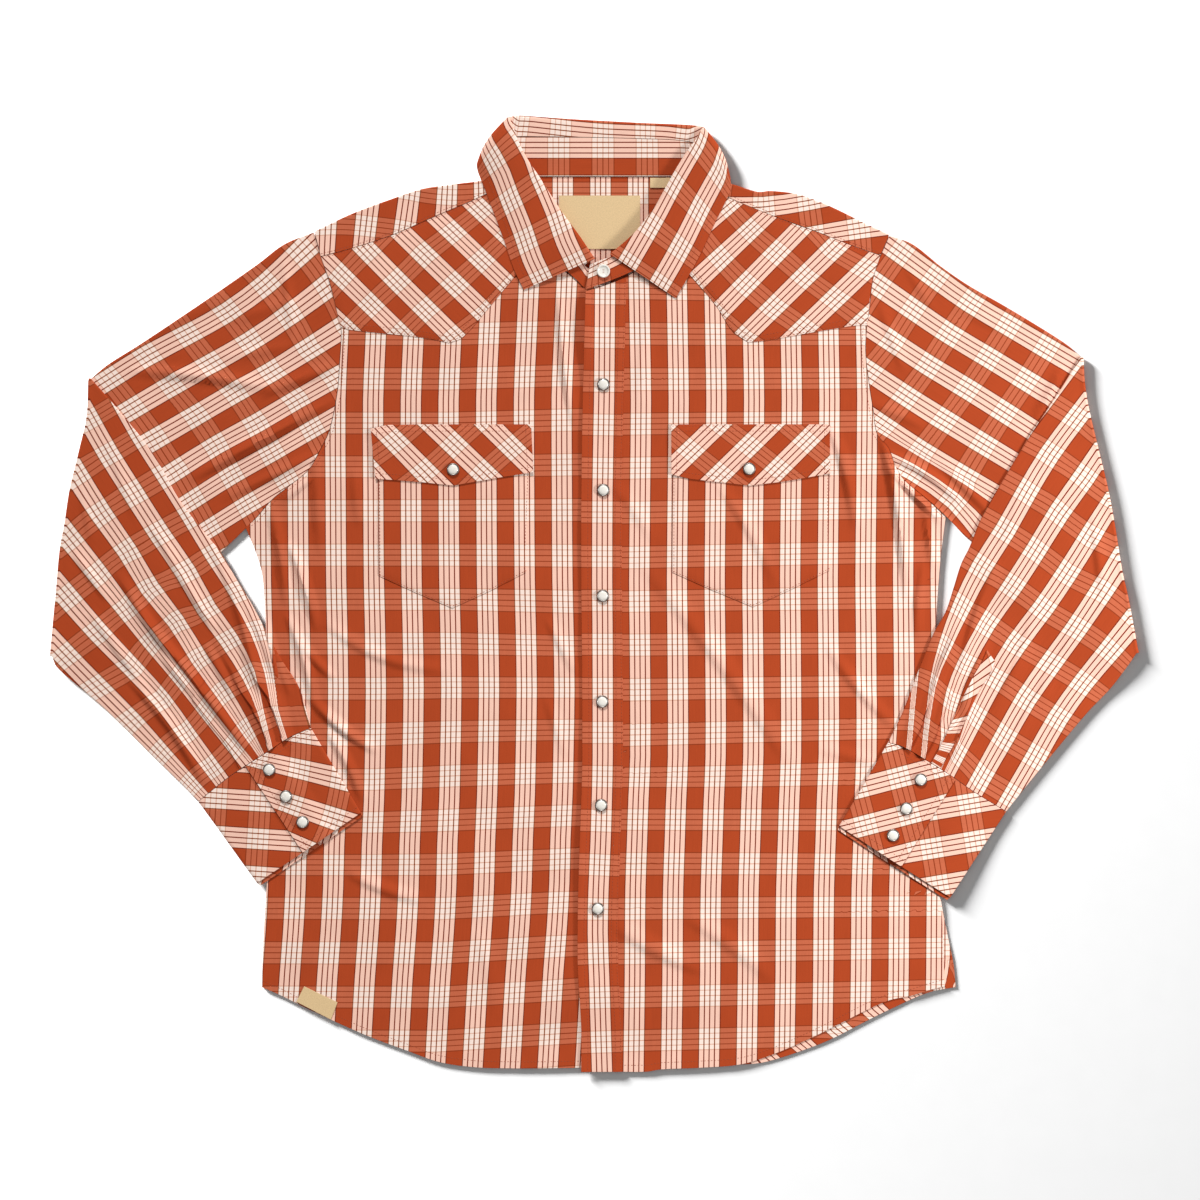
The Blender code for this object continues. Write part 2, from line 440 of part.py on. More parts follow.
def sleeve(name, arm, top_edge, under_edge, elbow, inner, outer, cuff_seam, outwards, columns, pleats, gauntlet):
    """A sleeve: a flat tube from the armhole to the elbow fold, over itself, and on to the cuff.

    The ply on top of the upper arm is underneath in the forearm.  Columns are shares of the way across it from
    its inner edge; pleats, and the two edges of the gauntlet, are the numbers of their columns, and the gauntlet's
    last number is its length in rows of the forearm.
    """
    back_radius, front_radius = PLY_TURN * 2 + ELBOW_RADIUS, ELBOW_RADIUS
    pivot = BACK_MID + back_radius
    chord = Vector((elbow[-1][0] - elbow[0][0], elbow[-1][1] - elbow[0][1])).normalized()
    side = (-chord.y * outwards, chord.x * outwards)
    axis = [(x - side[0] * (back_radius + WALL / 2), y - side[1] * (back_radius + WALL / 2))
            for x, y in (along(elbow, share) for share in columns)]
    start = shifted(arm, SLEEVE_SEAM * outwards)
    start[-1] = between(start[-1], under_edge[1], PIT_RELIEF)
    upper = patch(stations([start[0]] + top_edge[1:-1] + [axis[0]], UPPER_STEPS),
                  stations([start[-1]] + under_edge[1:-1] + [axis[-1]], UPPER_STEPS), start, axis)
    cuff_end = shifted([along(cuff_seam, share) for share in columns], SLEEVE_SEAM * outwards)
    inner_places = stations([axis[0]] + inner[1:-1] + [cuff_end[0]], FOREARM_STEPS)
    outer_places = stations([axis[-1]] + outer[1:-1] + [cuff_end[-1]], FOREARM_STEPS)
    forearm = patch(inner_places, outer_places, axis, cuff_end)

    upper, forearm = with_folds(upper, outwards), with_folds(forearm, -outwards)
    rings = [round_sleeve(*row, lambda i, x, y: FRONT_MID + loft(x, y), lambda i, x, y: BACK_MID) for row in upper]
    for angle in FOLD_ANGLES:
        turn = radians(angle)
        ring = []
        for x, y, radius in round_sleeve(*upper[-1], lambda i, x, y: front_radius, lambda i, x, y: back_radius):
            ring.append((x + side[0] * radius * sin(turn), y + side[1] * radius * sin(turn),
                         pivot - radius * cos(turn)))
        rings.append(ring)

    def under_ply(i, x, y):
        return support(x, y) + REST_GAP + WALL / 2

    tops = []
    for k, (edges, row) in list(enumerate(forearm))[1:]:
        near_cuff = smooth((k / FOREARM_STEPS - 0.45) / 0.5)

        def over_ply(i, x, y):
            air = SLEEVE_AIR * sin(pi * columns[i]) * sin(pi * k / FOREARM_STEPS)
            return under_ply(i, x, y) + 2 * PLY_TURN + air + (PLEAT_HEIGHT * near_cuff if i in pleats else 0)

        ring = round_sleeve(edges, row, under_ply, over_ply)
        rings.append(ring)
        tops.append(ring[ARM_STEPS + 3:][::-1][1:])
    sheet("sleeve_" + name, rings, rust_cloth, closed=True)

    first, last, length = gauntlet
    strip = [[(x, y, z + WALL + GAUNTLET_GAP) for x, y, z in row[first:last + 1]]
             for row in tops[-1 - length:]]
    sheet("gauntlet_" + name, strip, rust_cloth)


sleeve("right", right_arm, RIGHT_SLEEVE_TOP, RIGHT_SLEEVE_UNDER, RIGHT_ELBOW_FOLD, RIGHT_FOREARM_INNER,
       RIGHT_FOREARM_OUTER, RIGHT_CUFF_SEAM, -1, (0, 0.12, 0.23, 0.29, 0.35, 0.47, 0.61, 0.74, 0.87, 1),
       (2, 4), (5, 6, 3))
sleeve("left", left_arm, LEFT_SLEEVE_TOP, LEFT_SLEEVE_UNDER, LEFT_ELBOW_FOLD, LEFT_FOREARM_INNER,
       LEFT_FOREARM_OUTER, LEFT_CUFF_SEAM, 1, (0, 0.08, 0.16, 0.22, 0.28, 0.35, 0.47, 0.62, 0.8, 1),
       (2, 4), (5, 6, 4))

# A cuff is one stiff strip wound round: share of the way from its inner to its outer fold, and its layer
CUFF_WINDING = [(0.37, 2), (0.6, 2), (0.8, 2), (0.994, 2), (1.0, 1.5), (0.994, 1), (0.8, 1), (0.6, 1), (0.4, 1),
                (0.2, 1), (0.006, 1), (0.0, 1.5), (0.006, 2), (0.13, 2), (0.24, 2), (0.33, 3), (0.44, 3), (0.56, 3)]
CUFF_ROWS = 4
CUFF_LAYER = STIFF_WALL + GAP


def cuff_height(x, y, layer):
    return support(x, y) + REST_GAP + STIFF_WALL / 2 + (layer - 1) * CUFF_LAYER


def cuff(name, seam, hem):
    """A cuff: from the under end out round both folds to the lap, with its under side showing at the hem."""
    grid = []
    for k in range(CUFF_ROWS + 1):
        row = []
        for share, layer in CUFF_WINDING:
            top, bottom = along(seam, share), along(hem, share)
            reach = 1 + (CUFF_PEEK / hypot(bottom[0] - top[0], bottom[1] - top[1]) if layer == 1 else 0)
            x, y = between(top, bottom, reach * k / CUFF_ROWS)
            row.append((x, y, cuff_height(x, y, layer)))
        grid.append(row)
    sheet("cuff_" + name, grid, pale_cloth, wall=STIFF_WALL)


cuff("right", RIGHT_CUFF_SEAM, RIGHT_CUFF_HEM)
cuff("left", LEFT_CUFF_SEAM, LEFT_CUFF_HEM)


def with_middles(rows):
    """Rows of places with one more row between each two, on smooth curves from row to row."""
    dense = [rows[0]]
    for k in range(len(rows) - 1):
        a, b, c, d = (rows[min(max(j, 0), len(rows) - 1)] for j in (k - 1, k, k + 1, k + 2))
        middle = []
        for p, q, r, s in zip(a, b, c, d):
            p, q, r, s = Vector(p), Vector(q), Vector(r), Vector(s)
            step = (r - q).length
            leave = (r - p) * step / max(step, (q - p).length + step)
            reach = (s - q) * step / max(step, (s - r).length + step)
            middle.append(tuple((q + r) / 2 + (leave - reach) / 8))
        dense += [middle, c]
    return dense


stand_rows, collar_rows = [], []
for body_seam, collar_seam, low, high, roll, edge, roll_height, edge_height, facing in COLLAR_STATIONS:
    foot = Vector((*body_seam, low + loft(*body_seam)))
    head = Vector((*collar_seam, high + loft(*collar_seam)))
    stand_rows.append([tuple(foot + (head - foot) * share) for share in (0, 0.5, 1)])
    if roll is None:
        continue
    outwards = Vector((-1 if head.x < 8 else 1, 0, 0)) * cos(radians(facing))
    outwards.z = sin(radians(facing))
    start = head + (head - foot).normalized() * COLLAR_SEAM
    top = Vector((*roll, roll_height + loft(*roll)))
    end = Vector((*edge, edge_height + loft(*edge)))
    inner = top + Vector((start.x - top.x, start.y - top.y, 0)).normalized() * 2 * COLLAR_ROLL - outwards * COLLAR_ROLL
    outer = top + Vector((end.x - top.x, end.y - top.y, 0)).normalized() * 2 * COLLAR_ROLL + outwards * COLLAR_ROLL
    fall = []
    for share in (0.33, 0.67, 1):
        place = outer + (end - outer) * share
        if facing >= 0:
            place += outwards * (COLLAR_SWELL + COLLAR_SIDE_SWELL * cos(radians(facing))) * sin(pi * share)
        else:
            place.z = end.z + (outer.z - end.z) * (1 - share) ** 2
        fall.append(place)
    collar_rows.append([tuple(place) for place in (start, inner, top, outer, *fall)])
sheet("collar_stand", with_middles(stand_rows), pale_cloth, wall=STIFF_WALL)
sheet("collar", with_middles(collar_rows), rust_cloth, wall=STIFF_WALL)

# Tags, left plain
flat_piece("neck_tag", [(-32, 357), (4, 357), (41, 357)], [(-32, 309), (4, 309), (41, 309)],
           lambda x, y: WALL + GAP + TAG_WALL / 2, tag_cloth, TAG_WALL, 1)
flat_piece("size_tag", [(50, 373), (60, 373), (70, 373)], [(50, 364), (60, 364), (70, 364)],
           lambda x, y: WALL + GAP + TAG_WALL / 2, tag_cloth, TAG_WALL, 1)
flat_piece("hem_tag", [(-261, -354), (-246, -361), (-231, -368.5)], [(-268, -368), (-252.5, -376), (-237, -384)],
           lambda x, y: FRONT_TOP + GAP + TAG_WALL / 2 + loft(x, y), tag_cloth, TAG_WALL, 1)


def turned(name, profile, x, y, z):
    """A turned piece: its profile (radius, height) runs from its top middle out and down to its foot."""
    mesh = bpy.data.meshes.new(name)
    bm = bmesh.new()
    verts = [bm.verts.new((radius * MM, 0, height * MM)) for radius, height in profile]
    for a, b in zip(verts, verts[1:]):
        bm.edges.new((a, b))
    bm.to_mesh(mesh)
    bm.free()
    piece = keep(name, mesh, pearl)
    piece.location = (Vector((x, y, z)) - PLAN_MIDDLE) * MM
    lathe = piece.modifiers.new("lathe", "SCREW")
    lathe.steps = lathe.render_steps = 12
    lathe.use_merge_vertices = True
    lathe.merge_threshold = 0.00001
    return piece


SNAP_PROFILE = [(0, SNAP_HEIGHT), (3.6, 2.3), (4.4, 1.6), (5.0, 1.9), (SNAP_RADIUS, 1.2), (SNAP_RADIUS, 0), (0, 0)]
BUTTON_PROFILE = [(0, 1.5), (3.4, 1.5), (4.4, 2.3), (5.4, 2.3), (6.0, 1.6), (6.0, 0.8), (4.8, 0), (0, 0)]

for number, (x, y) in enumerate(BAND_SNAPS, 1):
    turned(f"band_snap_{number}", SNAP_PROFILE, x, y, OVER_TOP + GAP + loft(x, y))
for side, x, y in FLAP_SNAPS:
    turned(f"flap_snap_{side}", SNAP_PROFILE, x, y, SECOND_MID + WALL / 2 + GAP + loft(x, y))
for side, places in CUFF_SNAPS.items():
    for number, (x, y) in enumerate(places, 1):
        turned(f"cuff_snap_{side}_{number}", SNAP_PROFILE, x, y, cuff_height(x, y, 3) + STIFF_WALL / 2 + 0.4)
turned("neck_button", BUTTON_PROFILE, *NECK_BUTTON, 4.8 + STIFF_WALL / 2 + GAP + loft(*NECK_BUTTON))
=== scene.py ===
"""Western snap shirt in rust and white checked cotton, laid out flat with its sleeves folded in.

The file follows the shirt as it is sewn: back, shoulders, fronts, yokes, band, pockets, sleeves, plackets,
cuffs, collar, tags, snaps, and last the table and the light.  Places are in millimetres from the middle of
the shirt's pattern: x to the wearer's left, y to the collar, z up.  "left" and "right" are the wearer's.
"""
from math import cos, hypot, pi, radians, sin

import bmesh
import bpy
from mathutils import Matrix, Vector, noise


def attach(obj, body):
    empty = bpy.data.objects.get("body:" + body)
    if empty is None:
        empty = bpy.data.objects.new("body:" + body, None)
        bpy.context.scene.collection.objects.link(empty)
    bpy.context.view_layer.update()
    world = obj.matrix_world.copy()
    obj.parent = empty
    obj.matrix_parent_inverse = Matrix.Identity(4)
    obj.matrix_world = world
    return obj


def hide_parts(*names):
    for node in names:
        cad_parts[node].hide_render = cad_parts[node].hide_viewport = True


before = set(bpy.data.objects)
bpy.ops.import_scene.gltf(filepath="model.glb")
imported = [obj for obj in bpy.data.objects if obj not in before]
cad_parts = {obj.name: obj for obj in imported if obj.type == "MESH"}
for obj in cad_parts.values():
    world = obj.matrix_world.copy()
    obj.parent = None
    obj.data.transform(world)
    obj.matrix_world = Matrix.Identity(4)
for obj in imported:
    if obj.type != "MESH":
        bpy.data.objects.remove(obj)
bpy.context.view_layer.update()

# -----------------------------------------------------------------------------------------------------------
# Back: the widest piece of the shirt, cut from checked cotton poplin with the stripes upright.  It lies flat
# on the table under everything else, and its hem is a little longer than the fronts' on the wearer's left.
MM = 0.001
CLOTH = 0.6  # a ply of poplin, drawn stout enough to cast its edge's shadow
SAME_PLACE = 0.02  # rows that close a tube are joined within this
WALL, GAP = 1.0, 0.3  # a ply and the air round it in the shirt's solids, which set the height of each layer
BACK_MID = WALL / 2
PLAN_MIDDLE = Vector((-0.2, -0.95, 0))
STRIPE_REPEAT, CROSS_REPEAT = 33.9, 39.8  # of the check, along the weft and along the warp

RIGHT_ARMHOLE = [(-252, 324), (-246, 303), (-238, 279), (-230, 248), (-227.5, 236), (-229, 205), (-231, 180),
                 (-238, 146), (-247, 127), (-256, 111), (-275, 95), (-289, 84), (-306, 65), (-314, 59)]
LEFT_ARMHOLE = [(265, 321), (257, 303), (250, 281), (247, 256), (244.5, 238), (243.5, 216), (247, 185),
                (250, 166), (254, 142), (264, 130), (270, 114), (278, 101), (301, 82), (316, 69)]
RIGHT_SIDE = [(-314, 59), (-305, 37), (-299, 17), (-297, -5), (-295.5, -30), (-293, -100), (-292, -180),
              (-294.5, -257), (-296.5, -290), (-298.5, -330), (-299, -355)]
LEFT_SIDE_BACK = [(316, 69), (314, 54), (311, 28), (308, -11), (307, -37), (306, -100), (307, -180),
                  (311, -270), (318, -310), (323, -334), (325, -355)]
BACK_YOKE_POINT = [(-150, 236), (-70, 218), (8, 190), (86, 218), (165, 236)]
BACK_HEM = [(-299, -355), (-283, -360), (-238, -381), (-185, -403), (-115, -422), (0, -425), (100, -425),
            (144, -424), (163, -420), (197, -408.5), (217, -400), (238, -389), (266, -375), (300, -360),
            (325, -355)]


def shares(points):
    """How far along a run of places each one is, from 0 to 1."""
    steps = [hypot(b[0] - a[0], b[1] - a[1]) for a, b in zip(points, points[1:])]
    return [sum(steps[:k]) / sum(steps) for k in range(len(points))]


def along(points, share):
    """The place at a share of a curve's length, on a smooth curve through the points."""
    lengths = [hypot(b[0] - a[0], b[1] - a[1]) for a, b in zip(points, points[1:])]
    travel = min(1.0, max(0.0, share)) * sum(lengths)
    index = 0
    while index < len(lengths) - 1 and travel > lengths[index]:
        travel -= lengths[index]
        index += 1
    t = travel / lengths[index]
    b, c = points[index], points[index + 1]
    a = points[index - 1] if index else (2 * b[0] - c[0], 2 * b[1] - c[1])
    d = points[index + 2] if index + 2 < len(points) else (2 * c[0] - b[0], 2 * c[1] - b[1])
    chord = lengths[index]
    before = hypot(b[0] - a[0], b[1] - a[1])
    after = hypot(d[0] - c[0], d[1] - c[1])
    place = []
    for i in (0, 1):
        leave = (c[i] - a[i]) * chord / (before + chord)
        reach = (d[i] - b[i]) * chord / (chord + after)
        place.append((2 * t**3 - 3 * t**2 + 1) * b[i] + (t**3 - 2 * t**2 + t) * leave
                     + (3 * t**2 - 2 * t**3) * c[i] + (t**3 - t**2) * reach)
    return tuple(place)


def stations(points, count):
    """Places at even lengths along a curve, one more than the count of steps."""
    return [along(points, k / count) for k in range(count + 1)]


def matching(points, pattern):
    """Places along a curve at the same shares of its length as the pattern's own places."""
    return [along(points, share) for share in shares(pattern)]


def shifted(points, distance):
    """A curve moved to the left of its own direction."""
    moved = []
    for k, point in enumerate(points):
        before, after = points[max(0, k - 1)], points[min(len(points) - 1, k + 1)]
        run, rise = after[0] - before[0], after[1] - before[1]
        size = hypot(run, rise)
        moved.append((point[0] - rise / size * distance, point[1] + run / size * distance))
    return moved


def patch(left, right, top, bottom):
    """Places of a pattern piece, row by row, filled in between its four edges."""
    down, over = shares(left), shares(top)
    grid = []
    for k, v in enumerate(down):
        grid.append([tuple(
            (1 - u) * left[k][a] + u * right[k][a] + (1 - v) * top[i][a] + v * bottom[i][a]
            - (1 - u) * (1 - v) * top[0][a] - u * (1 - v) * top[-1][a]
            - (1 - u) * v * bottom[0][a] - u * v * bottom[-1][a] for a in (0, 1))
            for i, u in enumerate(over)])
    return grid


def raised(grid, height):
    """Places in plan given their height by a function of x and y."""
    return [[(x, y, height(x, y)) for x, y in row] for row in grid]


def check_through(bands):
    """How the check lies on a piece: a function from a place to metres across and along its stripes.

    bands gives, by the numbers of one or more light stripes, the places (x, y, number) where the middle of
    the stripe meets the middle of a light cross stripe.  Between two such stripes the others fan out evenly.
    """
    lines = []
    for stripe, crossings in sorted(bands.items()):
        places = [crossing[:2] for crossing in crossings]
        at = shares(places)
        line = []
        for k in range(len(places) - 1):
            for part in (0, 1):
                line.append((*along(places, at[k] + (at[k + 1] - at[k]) * part / 2),
                             crossings[k][2] + (crossings[k + 1][2] - crossings[k][2]) * part / 2))
        lines.append((stripe, line + [crossings[-1]]))

    def from_line(line, x, y):
        """How far a place lies to the left of a stripe, and the cross stripe's number there."""
        best = None
        for k, ((ax, ay, a), (bx, by, b)) in enumerate(zip(line, line[1:])):
            dx, dy = bx - ax, by - ay
            t = ((x - ax) * dx + (y - ay) * dy) / (dx * dx + dy * dy)
            near = min(1 if k < len(line) - 2 else 1e9, max(0 if k else -1e9, t))
            away = hypot(ax + near * dx - x, ay + near * dy - y)
            if best is None or away < best[0]:
                side = 1 if dx * (y - ay) - dy * (x - ax) > 0 else -1
                best = (away, side * away, a + (b - a) * near)
        return best[1:]

    def check(x, y):
        away, cross = from_line(lines[0][1], x, y)
        stripe = lines[0][0]
        if len(lines) == 1:
            return (stripe * STRIPE_REPEAT + away) * MM, cross * CROSS_REPEAT * MM
        for (first, _), (second, line) in zip(lines, lines[1:]):
            next_away, next_cross = from_line(line, x, y)
            share = away / (away - next_away) if abs(away - next_away) > 1e-6 else 0.0
            if share <= 1 or second == lines[-1][0]:
                break
            away, cross = next_away, next_cross
        share = min(4.0, max(-3.0, share))
        return ((first + (second - first) * share) * STRIPE_REPEAT * MM,
                (cross + (next_cross - cross) * share) * CROSS_REPEAT * MM)

    return check


def on_check(places, check):
    """The check's own coordinates for every place of a grid."""
    return [[check(*place[:2]) for place in row] for row in places]


def new_node(tree, kind, inputs=None, **settings):
    """Add a node with its settings, and its inputs as values or as the sockets that they come from."""
    node = tree.nodes.new(kind)
    for setting, value in settings.items():
        setattr(node, setting, value)
    for socket, value in (inputs or {}).items():
        if isinstance(value, bpy.types.NodeSocket):
            tree.links.new(value, node.inputs[socket])
        else:
            node.inputs[socket].default_value = value
    return node


def linear(colour):
    """Linear light from an sRGB hex colour."""
    channels = [int(colour[k:k + 2], 16) / 255 for k in (0, 2, 4)]
    return (*[c / 12.92 if c <= 0.04045 else ((c + 0.055) / 1.055) ** 2.4 for c in channels], 1.0)


def new_material(name):
    """A material, its node tree, and the shader that its colours and finish are set on."""
    material = bpy.data.materials.new(name)
    material.use_nodes = True
    return material, material.node_tree, material.node_tree.nodes["Principled BSDF"]


# Yarn-dyed cotton poplin: white and brown yarns among the rust ones make pale stripes ruled with thin lines,
# both ways.  The upright yarns show most, so each crossing takes its colour from both.  It has a dry, matt
# face.
RUST, PINK, SALMON, CREAM = "AD431D", "F4C6B2", "C26444", "F7E0D3"
BROWN, TAN_BROWN, DULL_RUST, DULL_PINK = "7A2A10", "935534", "8F3614", "DBAA92"
# the check's repeat, then the brown lines of a stripe: from one to the next, and how wide
STRIPE = (STRIPE_REPEAT, 4.7, 0.95)
CROSS_STRIPE = (CROSS_REPEAT, 4.95, 0.85)
WAVE_LENGTH = 0.314  # of the wave texture at a scale of 1
YARN = 0.6  # spacing of the bumps: the real yarns, 0.25 mm apart, are drawn coarser so that they show

poplin, tree, shader = new_material("checked_cotton_poplin")
place = new_node(tree, "ShaderNodeUVMap", uv_map="check")
axes = new_node(tree, "ShaderNodeSeparateXYZ", {0: place.outputs["UV"]})
black, white = (0, 0, 0, 1), (1, 1, 1, 1)
ruled = []
for axis, (repeat, step, line), yarn_colours in (
        ("X", STRIPE, ((linear(BROWN), linear(PINK), linear(RUST)),
                       (linear(TAN_BROWN), linear(CREAM), linear(SALMON)),
                       (linear(BROWN), linear(DULL_PINK), linear(DULL_RUST)))),
        ("Y", CROSS_STRIPE, ((black, white, black), (white, black, black)))):
    turns = new_node(tree, "ShaderNodeMath", {0: axes.outputs[axis], 1: 1 / (repeat * MM)},
                     operation="MULTIPLY")
    middle = new_node(tree, "ShaderNodeMath", {0: turns.outputs[0], 1: 0.5}, operation="ADD")
    part = new_node(tree, "ShaderNodeMath", {0: middle.outputs[0]}, operation="FRACT")
    off = new_node(tree, "ShaderNodeMath", {0: part.outputs[0], 1: 0.5}, operation="SUBTRACT")
    away = new_node(tree, "ShaderNodeMath", {0: off.outputs[0]}, operation="ABSOLUTE")
    for thin, pale, ground in yarn_colours:
        yarns = new_node(tree, "ShaderNodeValToRGB", {0: away.outputs[0]})
        yarns.color_ramp.interpolation = "CONSTANT"
        yarns.color_ramp.elements[0].color = thin
        yarns.color_ramp.elements[1].position = line / 2 / repeat
        yarns.color_ramp.elements[1].color = pale
        for distance, colour in ((step - line / 2, thin), (step + line / 2, pale),
                                 (2 * step - line / 2, thin), (2 * step + line / 2, ground)):
            yarns.color_ramp.elements.new(distance / repeat).color = colour
        ruled.append(yarns.outputs["Color"])
over_rust, over_white, over_brown, white_weft, brown_weft = ruled
pale_and_rust = new_node(tree, "ShaderNodeMix", {0: white_weft, 6: over_rust, 7: over_white},
                         data_type="RGBA")
woven = new_node(tree, "ShaderNodeMix", {0: brown_weft, 6: pale_and_rust.outputs[2], 7: over_brown},
                 data_type="RGBA")
# dye takes a little unevenly along the yarns
streaks = new_node(tree, "ShaderNodeMapping", {0: place.outputs["UV"], "Scale": (900, 40, 1)})
streak = new_node(tree, "ShaderNodeTexNoise", {"Vector": streaks.outputs[0], "Scale": 1.0, "Detail": 2.0})
clouds = new_node(tree, "ShaderNodeTexNoise", {"Vector": place.outputs["UV"], "Scale": 22.0, "Detail": 3.0})
uneven = new_node(tree, "ShaderNodeMath", {0: streak.outputs["Fac"], 1: clouds.outputs["Fac"]},
                  operation="ADD")
shade = new_node(tree, "ShaderNodeMapRange", {0: uneven.outputs[0], 1: 0.6, 2: 1.4, 3: 0.92, 4: 1.05})
dyed = new_node(tree, "ShaderNodeMix", {0: 1.0, 6: woven.outputs[2], 7: shade.outputs[0]}, data_type="RGBA",
                blend_type="MULTIPLY")
tree.links.new(dyed.outputs[2], shader.inputs["Base Color"])
rib_scale = WAVE_LENGTH / (YARN * MM)
ribs = [new_node(tree, "ShaderNodeTexWave", {"Vector": place.outputs["UV"], "Scale": rib_scale},
                 bands_direction=direction) for direction in ("X", "Y")]
weave = new_node(tree, "ShaderNodeMath", {0: ribs[0].outputs["Fac"], 1: ribs[1].outputs["Fac"]},
                 operation="MULTIPLY")
face = new_node(tree, "ShaderNodeBump", {"Strength": 0.25, "Distance": 0.00012, "Height": weave.outputs[0]})
tree.links.new(face.outputs[0], shader.inputs["Normal"])
shader.inputs["Roughness"].default_value = 0.82
shader.inputs["Specular IOR Level"].default_value = 0.15


def finished(name, mesh, *materials):
    """An object of a finished mesh, smooth all over and in its materials."""
    for material in materials:
        mesh.materials.append(material)
    for polygon in mesh.polygons:
        polygon.use_smooth = True
    piece = bpy.data.objects.new(name, mesh)
    bpy.context.scene.collection.objects.link(piece)
    return piece


def cloth_piece(name, places, check_places, material=poplin, wall=CLOTH, joined=False, without=None):
    """A piece of cloth: a grid moved onto its places, with its check, given a wall and a soft edge."""
    rows, columns = len(places) - 1, len(places[0]) - 1
    bm = bmesh.new()
    bmesh.ops.create_grid(bm, x_segments=columns, y_segments=rows, size=0.5)
    check_map = bm.loops.layers.uv.new("check")
    cell = {}
    for vert in bm.verts:
        cell[vert] = row, column = round((vert.co.y + 0.5) * rows), round((vert.co.x + 0.5) * columns)
        vert.co = (Vector(places[row][column]) - PLAN_MIDDLE) * MM
        for loop in vert.link_loops:
            loop[check_map].uv = check_places[row][column]
    if without:
        corner = {face: (min(cell[v][0] for v in face.verts), min(cell[v][1] for v in face.verts))
                  for face in bm.faces}
        bmesh.ops.delete(bm, geom=[f for f in bm.faces if without(*corner[f])], context="FACES")
    if joined:
        bmesh.ops.remove_doubles(bm, verts=bm.verts, dist=SAME_PLACE * MM)
    mesh = bpy.data.meshes.new(name)
    bm.to_mesh(mesh)
    bm.free()
    piece = finished(name, mesh, material)
    ply = piece.modifiers.new("ply", "SOLIDIFY")
    ply.thickness = wall * MM
    ply.offset = 0.0
    edge = piece.modifiers.new("edge", "BEVEL")
    edge.width = 0.25 * wall * MM
    edge.segments = 2
    edge.limit_method = "ANGLE"
    edge.angle_limit = radians(60)
    piece.modifiers.new("even_shade", "WEIGHTED_NORMAL")
    return piece


def cut_area(places):
    """Area of a grid of places in square metres: the cloth in one ply of it."""
    total = 0.0
    for row, next_row in zip(places, places[1:]):
        for a, b, c, d in zip(row, row[1:], next_row[1:], next_row):
            total += (Vector(c) - Vector(a)).cross(Vector(d) - Vector(b)).length / 2
    return total * MM * MM


def sewn(piece, node, flat, area, rests_on=("back",)):
    """Stand a piece in for its solid; the cut of its cloth in millimetres is not used."""
    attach(piece, "root")
    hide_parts(node)
    list(rests_on)


ARM_STEPS, YOKE_ARM_STEPS = 90, 30  # the back yoke takes the top third of the armhole
right_arm, left_arm = stations(RIGHT_ARMHOLE, ARM_STEPS), stations(LEFT_ARMHOLE, ARM_STEPS)
yoke_seam = stations([right_arm[YOKE_ARM_STEPS]] + BACK_YOKE_POINT + [left_arm[YOKE_ARM_STEPS]], 100)
back_top = shifted(yoke_seam, -GAP)
back_right = [back_top[0]] + right_arm[YOKE_ARM_STEPS + 1:] + stations(RIGHT_SIDE, 64)[1:]
back_left = [back_top[-1]] + left_arm[YOKE_ARM_STEPS + 1:] + stations(LEFT_SIDE_BACK, 64)[1:]
back_places = raised(patch(back_right, back_left, back_top, matching(BACK_HEM, back_top)),
                     lambda x, y: BACK_MID)
back_check = check_through({
    0: [(5.4, 200, 6), (5.4, -420, -9.58)], 3: [(107.1, 200, 6), (107.1, -425, -9.7)],
    4: [(141, 200, 6), (141, -402, -9.13), (161, -424, -9.85)],
    5: [(174.9, 200, 6), (174.9, -392, -8.87), (195, -414, -9.6)],
    6: [(208.8, 200, 6), (208.8, -380, -8.57), (229, -401, -9.3)],
    7: [(242.7, 200, 6), (242.7, -363, -8.15), (262, -385, -8.9)],
    8: [(276.6, 200, 6), (276.6, -347, -7.74), (294, -368, -8.4)],
    9: [(310.5, 200, 6), (310.5, -345, -7.7)]})
sewn(cloth_piece("back_panel", back_places, on_check(back_places, back_check)), "back",
     (640, 660), cut_area(back_places), rests_on=())

# -----------------------------------------------------------------------------------------------------------
# Back yoke: the checked cotton piece over the shoulders, joined to the back in a point.  Its two shoulder
# ends turn forward over the top of the shirt and are sewn to the front yokes there, so a strip of each shows
# from the front.
FRONT_MID = WALL + GAP + WALL / 2
FRONT_TOP = FRONT_MID + WALL / 2
OVER_MID = FRONT_TOP + GAP + WALL / 2
LOFT, LOFT_INSET, LOFT_RUN = 1.5, 3.0, 75.0  # air under the front: how much, from where, over how far
LEFT_SIDE = [(316, 69), (314, 54), (311, 28), (308, -11), (307, -37), (306, -100), (307, -180), (310, -265),
             (312.5, -292), (315, -354)]
RIGHT_SHOULDER = [(-252, 325), (-218, 341), (-183, 354), (-156, 363), (-122, 368), (-106, 370), (-88, 374)]
LEFT_SHOULDER = [(102, 371.5), (124, 367.5), (147, 360.5), (158, 361.5), (185, 358), (210, 348.5),
                 (246, 331), (265, 322)]
RIGHT_YOKE_SEAM = [(-246, 302), (-216, 310), (-180, 322), (-146, 337), (-113, 351), (-91, 361)]
LEFT_YOKE_SEAM = [(105, 362), (132, 350), (163, 337.5), (195, 326), (231, 312), (257, 303)]
RIGHT_SLEEVE_TOP = [(-252, 325), (-279, 313), (-303, 295), (-355.5, 258.5), (-409.5, 222.5), (-438, 204.5),
                    (-455.5, 192.5)]
RIGHT_SLEEVE_UNDER = [(-314, 59), (-337, 36), (-380, 8), (-490, -57)]
RIGHT_ELBOW_FOLD = [(-455.5, 192.5), (-457, 159), (-464, 127), (-472, 94), (-477, 62), (-481, 40),
                    (-485, -3), (-488, -35), (-490, -57)]
